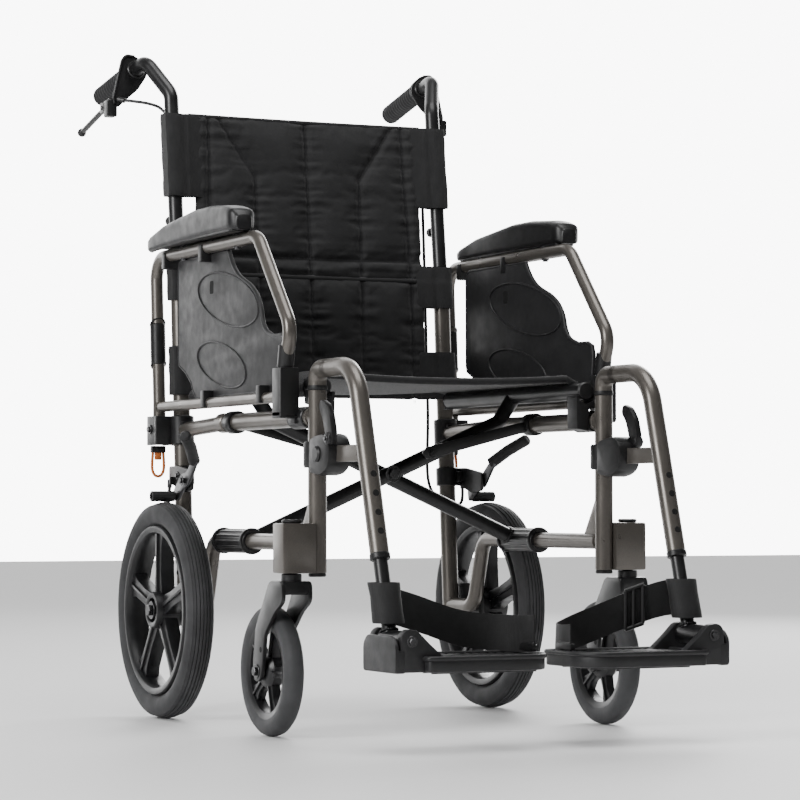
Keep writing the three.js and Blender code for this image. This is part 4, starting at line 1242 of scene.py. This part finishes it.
def back_sleeve(name, side, line, z_range, body, blend=None, gather=1.0):
    """A flap that leaves the quilt, passes round the post and comes back."""
    ring = [(178, -6), (192, -8), (206, -12), (218, -15.4), (229, -15.6), (238, -11.5), (242.6, -4),
            (242.8, 4),
            (238.5, 11.5), (229, 15.6), (217, 15.4), (205, 10.5), (192, 5.5), (178, 3)]
    loop = [q for q in smooth_line([(a, b, 0) for a, b in ring] + [(ring[0][0], ring[0][1], 0)], 4)][:-1]
    low, high = z_range
    zs = np.linspace(low, high, max(10, round((high - low) / 3.4)))
    verts, n = [], len(loop)
    for z in zs:
        end = min(z - low, high - z)
        tuck = 1 - 0.05 * math.exp(-end / 3)
        for k, (u, w, _) in enumerate(loop):
            a = math.atan2(w, u - 215)
            lines = noise.noise(Vector((a * 4.5, z / 60,
                                        side * 3 + low))) * math.exp(-end / 22) * 1.5 * gather
            soft = noise.noise(Vector((a * 1.6, z / 26, side * 7 + low))) * 1.6
            grow = 1 + (lines + soft) / 20
            x = min(215 + (u - 215) * tuck * (grow if u > 200 else 1), SLEEVE_REACH)
            y = w * tuck * (grow if u > 186 else 1)
            bulge = belly(min(x, 200)) if u < 206 else belly(200) * max(0, 1 - (u - 206) / 16)
            verts.append((side * x, line(z) - (2 if u < 206 else 0) + bulge + y, z))
    faces = ring_faces(len(zs), n)
    inner = len(verts)
    for z, row in ((zs[0], 0), (zs[-1], (len(zs) - 1) * n)):
        start = len(verts)
        for k in range(n):
            p = np.array(verts[row + k])
            hub = np.array([side * FRAME_X, line(z), z])
            if loop[k][0] > 207:
                q = hub + (p - hub) * 0.84
            else:
                q = p + np.array([0, -math.copysign(1.5, loop[k][1]), 0])
            q[2] += 3 if row == 0 else -3
            verts.append(tuple(q))
        for k in range(n):
            faces.append((row + k, row + (k + 1) % n, start + (k + 1) % n, start + k))
    inside = list(range(inner, inner + n))
    above = list(range(inner + n, inner + 2 * n))
    faces += [(a, b, d, c) for a, b, c, d in zip(inside, inside[1:] + inside[:1], above,
                                                 above[1:] + above[:1])]
    obj = make(name, [(np.array(verts), faces)], NYLON, None if blend else body, smooth=70)
    if blend:
        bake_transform(obj)
    return obj


def seat():
    """A padded sling between the seat rails, wrapped round them, with a bound front edge."""
    half = SEAT_RAIL_X

    def sling(x):
        return 500.5 - 7.5 * (1 - (x / half) ** 2)
    section = []
    for a in np.linspace(math.radians(-70), math.radians(80), 9):
        section.append((half + 14.2 * math.cos(a), SEAT_RAIL_Z + 14.2 * math.sin(a)))
    for x in np.linspace(half - 12, 0, 18)[:-1]:
        section.append((x, sling(x)))
    top = section + [(-x, z) for x, z in [(0, 493)] + section[::-1]]
    seams = (-150, -75, 0, 75, 150)
    ys = np.arange(-395, 38, 4.3)
    verts = []
    n = len(top)
    thick = 8.0
    for layer in (0, 1):
        for y in ys:
            front = min(1, (y + 396) / 10)
            for k, (x, z) in enumerate(top):
                prev, nxt = top[max(k - 1, 0)], top[min(k + 1, n - 1)]
                nx, nz = -(nxt[1] - prev[1]), nxt[0] - prev[0]
                size = math.hypot(nx, nz)
                nx, nz = -nx / size, -nz / size
                gap = min(abs(x - s) for s in seams)
                flat = abs(x) < half - 10
                depth = (thick if flat else 2.4) * (0.55 + 0.45 * front)
                puff = 2.2 * (1 - math.exp(-(gap / 9) ** 2)) * front if flat else 0
                wave = 0.8 * noise.noise(Vector((x / 45, y / 30, 1))) + 0.5 * noise.noise(Vector((x / 12,
                                                                                                  y / 60,
                                                                                                  4)))
                if layer == 0:
                    verts.append((x + nx * (puff + wave * 0.6), y, z + nz * (puff + wave)))
                else:
                    verts.append((x - nx * depth, y, z - nz * depth + wave * 0.4))
    cover = make("seat_quilt", [(np.array(verts), layer_faces(n, len(ys)))], SEAT_NYLON, "seat",
                 ["seat_cover"], smooth=70)
    edge = [np.array([x, -395, z - 3.5]) for x, z in top[6:-6]]
    binding = make("seat_front_binding", [loft(edge, [np.array([-1.0, 0, 0])] * len(edge), 5.2, 16, True)],
                   SEAT_NYLON,
                   "seat")
    rows = []
    for x in seams:
        rows.append([(x, y, sling(x) + 0.6) for y in np.linspace(-388, 32, 12)])
    thread = stitches("seat_stitches", rows, "seat")
    for piece in (cover, binding, thread):
        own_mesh(piece)


# ---- the run ----
for side, tag in ((-1, "r"), (1, "l")):
    side_frame(side, tag)
    axle_housing(side, tag)
    seat_saddle(side, tag)
    rear_wheel(side, tag)
    castor(side, tag)
    push_handle(side, tag)
    brake_cable(side, tag)
    armrest(side, tag)
    arm_mounts(side, tag)
    legrest(side, tag)
    footplate(side, tag)
    heel_strap(side, tag)
    parking_brake(side, tag)
brace()
back_panels()
for side, tag in ((-1, "r"), (1, "l")):
    back_sleeve(f"back_sleeve_low_{tag}", side, lower_line, (482, 556), f"frame_{tag}")
    back_sleeve(f"back_sleeve_mid_{tag}", side,
                lambda z: lower_line(z) if z < BACK_SPLIT else upper_line(z), (626, 692),
                None, (f"frame_{tag}", f"back_{tag}"), 1.6)
    back_sleeve(f"back_sleeve_high_{tag}", side, upper_line, (786, 914), f"back_{tag}")
seat()

# ---- studio ----
def plain(name, color, roughness, glow=0.0):
    s = Shader(name, color, roughness)
    if glow:
        s.set("Emission Color", (1, 1, 1, 1))
        s.set("Emission Strength", glow)
    return s.material


def stage_plane(name, corners, material):
    mesh = bpy.data.meshes.new(name)
    mesh.from_pydata(corners, [], [(0, 1, 2, 3)])
    obj = bpy.data.objects.new(name, mesh)
    bpy.context.scene.collection.objects.link(obj)
    mesh.materials.append(material)


BACKGROUND_GLOW = 9.0    # what the camera sees past the floor; it lights nothing
stage_plane("floor", [(-12, -12, 0), (12, -12, 0), (12, 12, 0), (-12, 12, 0)],
            plain("pale_floor", (0.82, 0.82, 0.82), 0.6))
world = bpy.data.worlds.new("studio")
world.use_nodes = True
sky = world.node_tree.nodes
toward = sky.new("ShaderNodeTexCoord")
facing = sky.new("ShaderNodeVectorMath")
facing.operation = "DOT_PRODUCT"
facing.inputs[1].default_value = (0.3, 0.95, 0.0)
gradient = sky.new("ShaderNodeMapRange")
gradient.interpolation_type = "SMOOTHSTEP"
for key, value in (("From Min", 0.45), ("From Max", 0.92), ("To Min", 0.1), ("To Max", 4.0)):
    gradient.inputs[key].default_value = value
wire = world.node_tree.links
wire.new(toward.outputs["Generated"], facing.inputs[0])
wire.new(facing.outputs["Value"], gradient.inputs["Value"])
seen = sky.new("ShaderNodeLightPath")
strength = sky.new("ShaderNodeMix")
strength.inputs["B"].default_value = BACKGROUND_GLOW
wire.new(seen.outputs["Is Camera Ray"], strength.inputs["Factor"])
wire.new(gradient.outputs["Result"], strength.inputs["A"])
wire.new(strength.outputs["Result"], sky["Background"].inputs["Strength"])
sky["Background"].inputs["Color"].default_value = (1, 1, 1, 1)
bpy.context.scene.world = world


def softbox(name, place_at, size, power):
    light = bpy.data.lights.new(name, "AREA")
    light.shape = "RECTANGLE"
    light.size, light.size_y = size
    light.energy = power
    obj = bpy.data.objects.new(name, light)
    obj.location = place_at
    obj.rotation_euler = (Vector((0, 0, 0.5)) - Vector(place_at)).to_track_quat("-Z", "Y").to_euler()
    bpy.context.scene.collection.objects.link(obj)


softbox("key", (-3.5, -1.2, 1.9), (1.4, 1.6), 105)
softbox("top", (0.0, -0.8, 3.6), (2.2, 2.2), 75)
softbox("rim", (2.6, 2.4, 2.0), (1.2, 1.8), 70)

# the camera of the photograph, as fitted
AZIMUTH, ELEVATION = math.radians(25.36), math.radians(2.05)
FOCAL_LENGTH = 132.44
CAMERA_AT = (-1829.0, -4104.8, 315.1)
camera = bpy.data.objects.new("camera", bpy.data.cameras.new("camera"))
camera.data.lens, camera.data.sensor_width = FOCAL_LENGTH, 36
camera.location = m3(*CAMERA_AT)
aim = Vector((math.sin(AZIMUTH) * math.cos(ELEVATION), math.cos(AZIMUTH) * math.cos(ELEVATION),
              math.sin(ELEVATION)))
camera.rotation_euler = aim.to_track_quat("-Z", "Y").to_euler()
camera.data.clip_end = 100
bpy.context.scene.collection.objects.link(camera)
bpy.context.scene.camera = camera

bpy.context.view_layer.update()
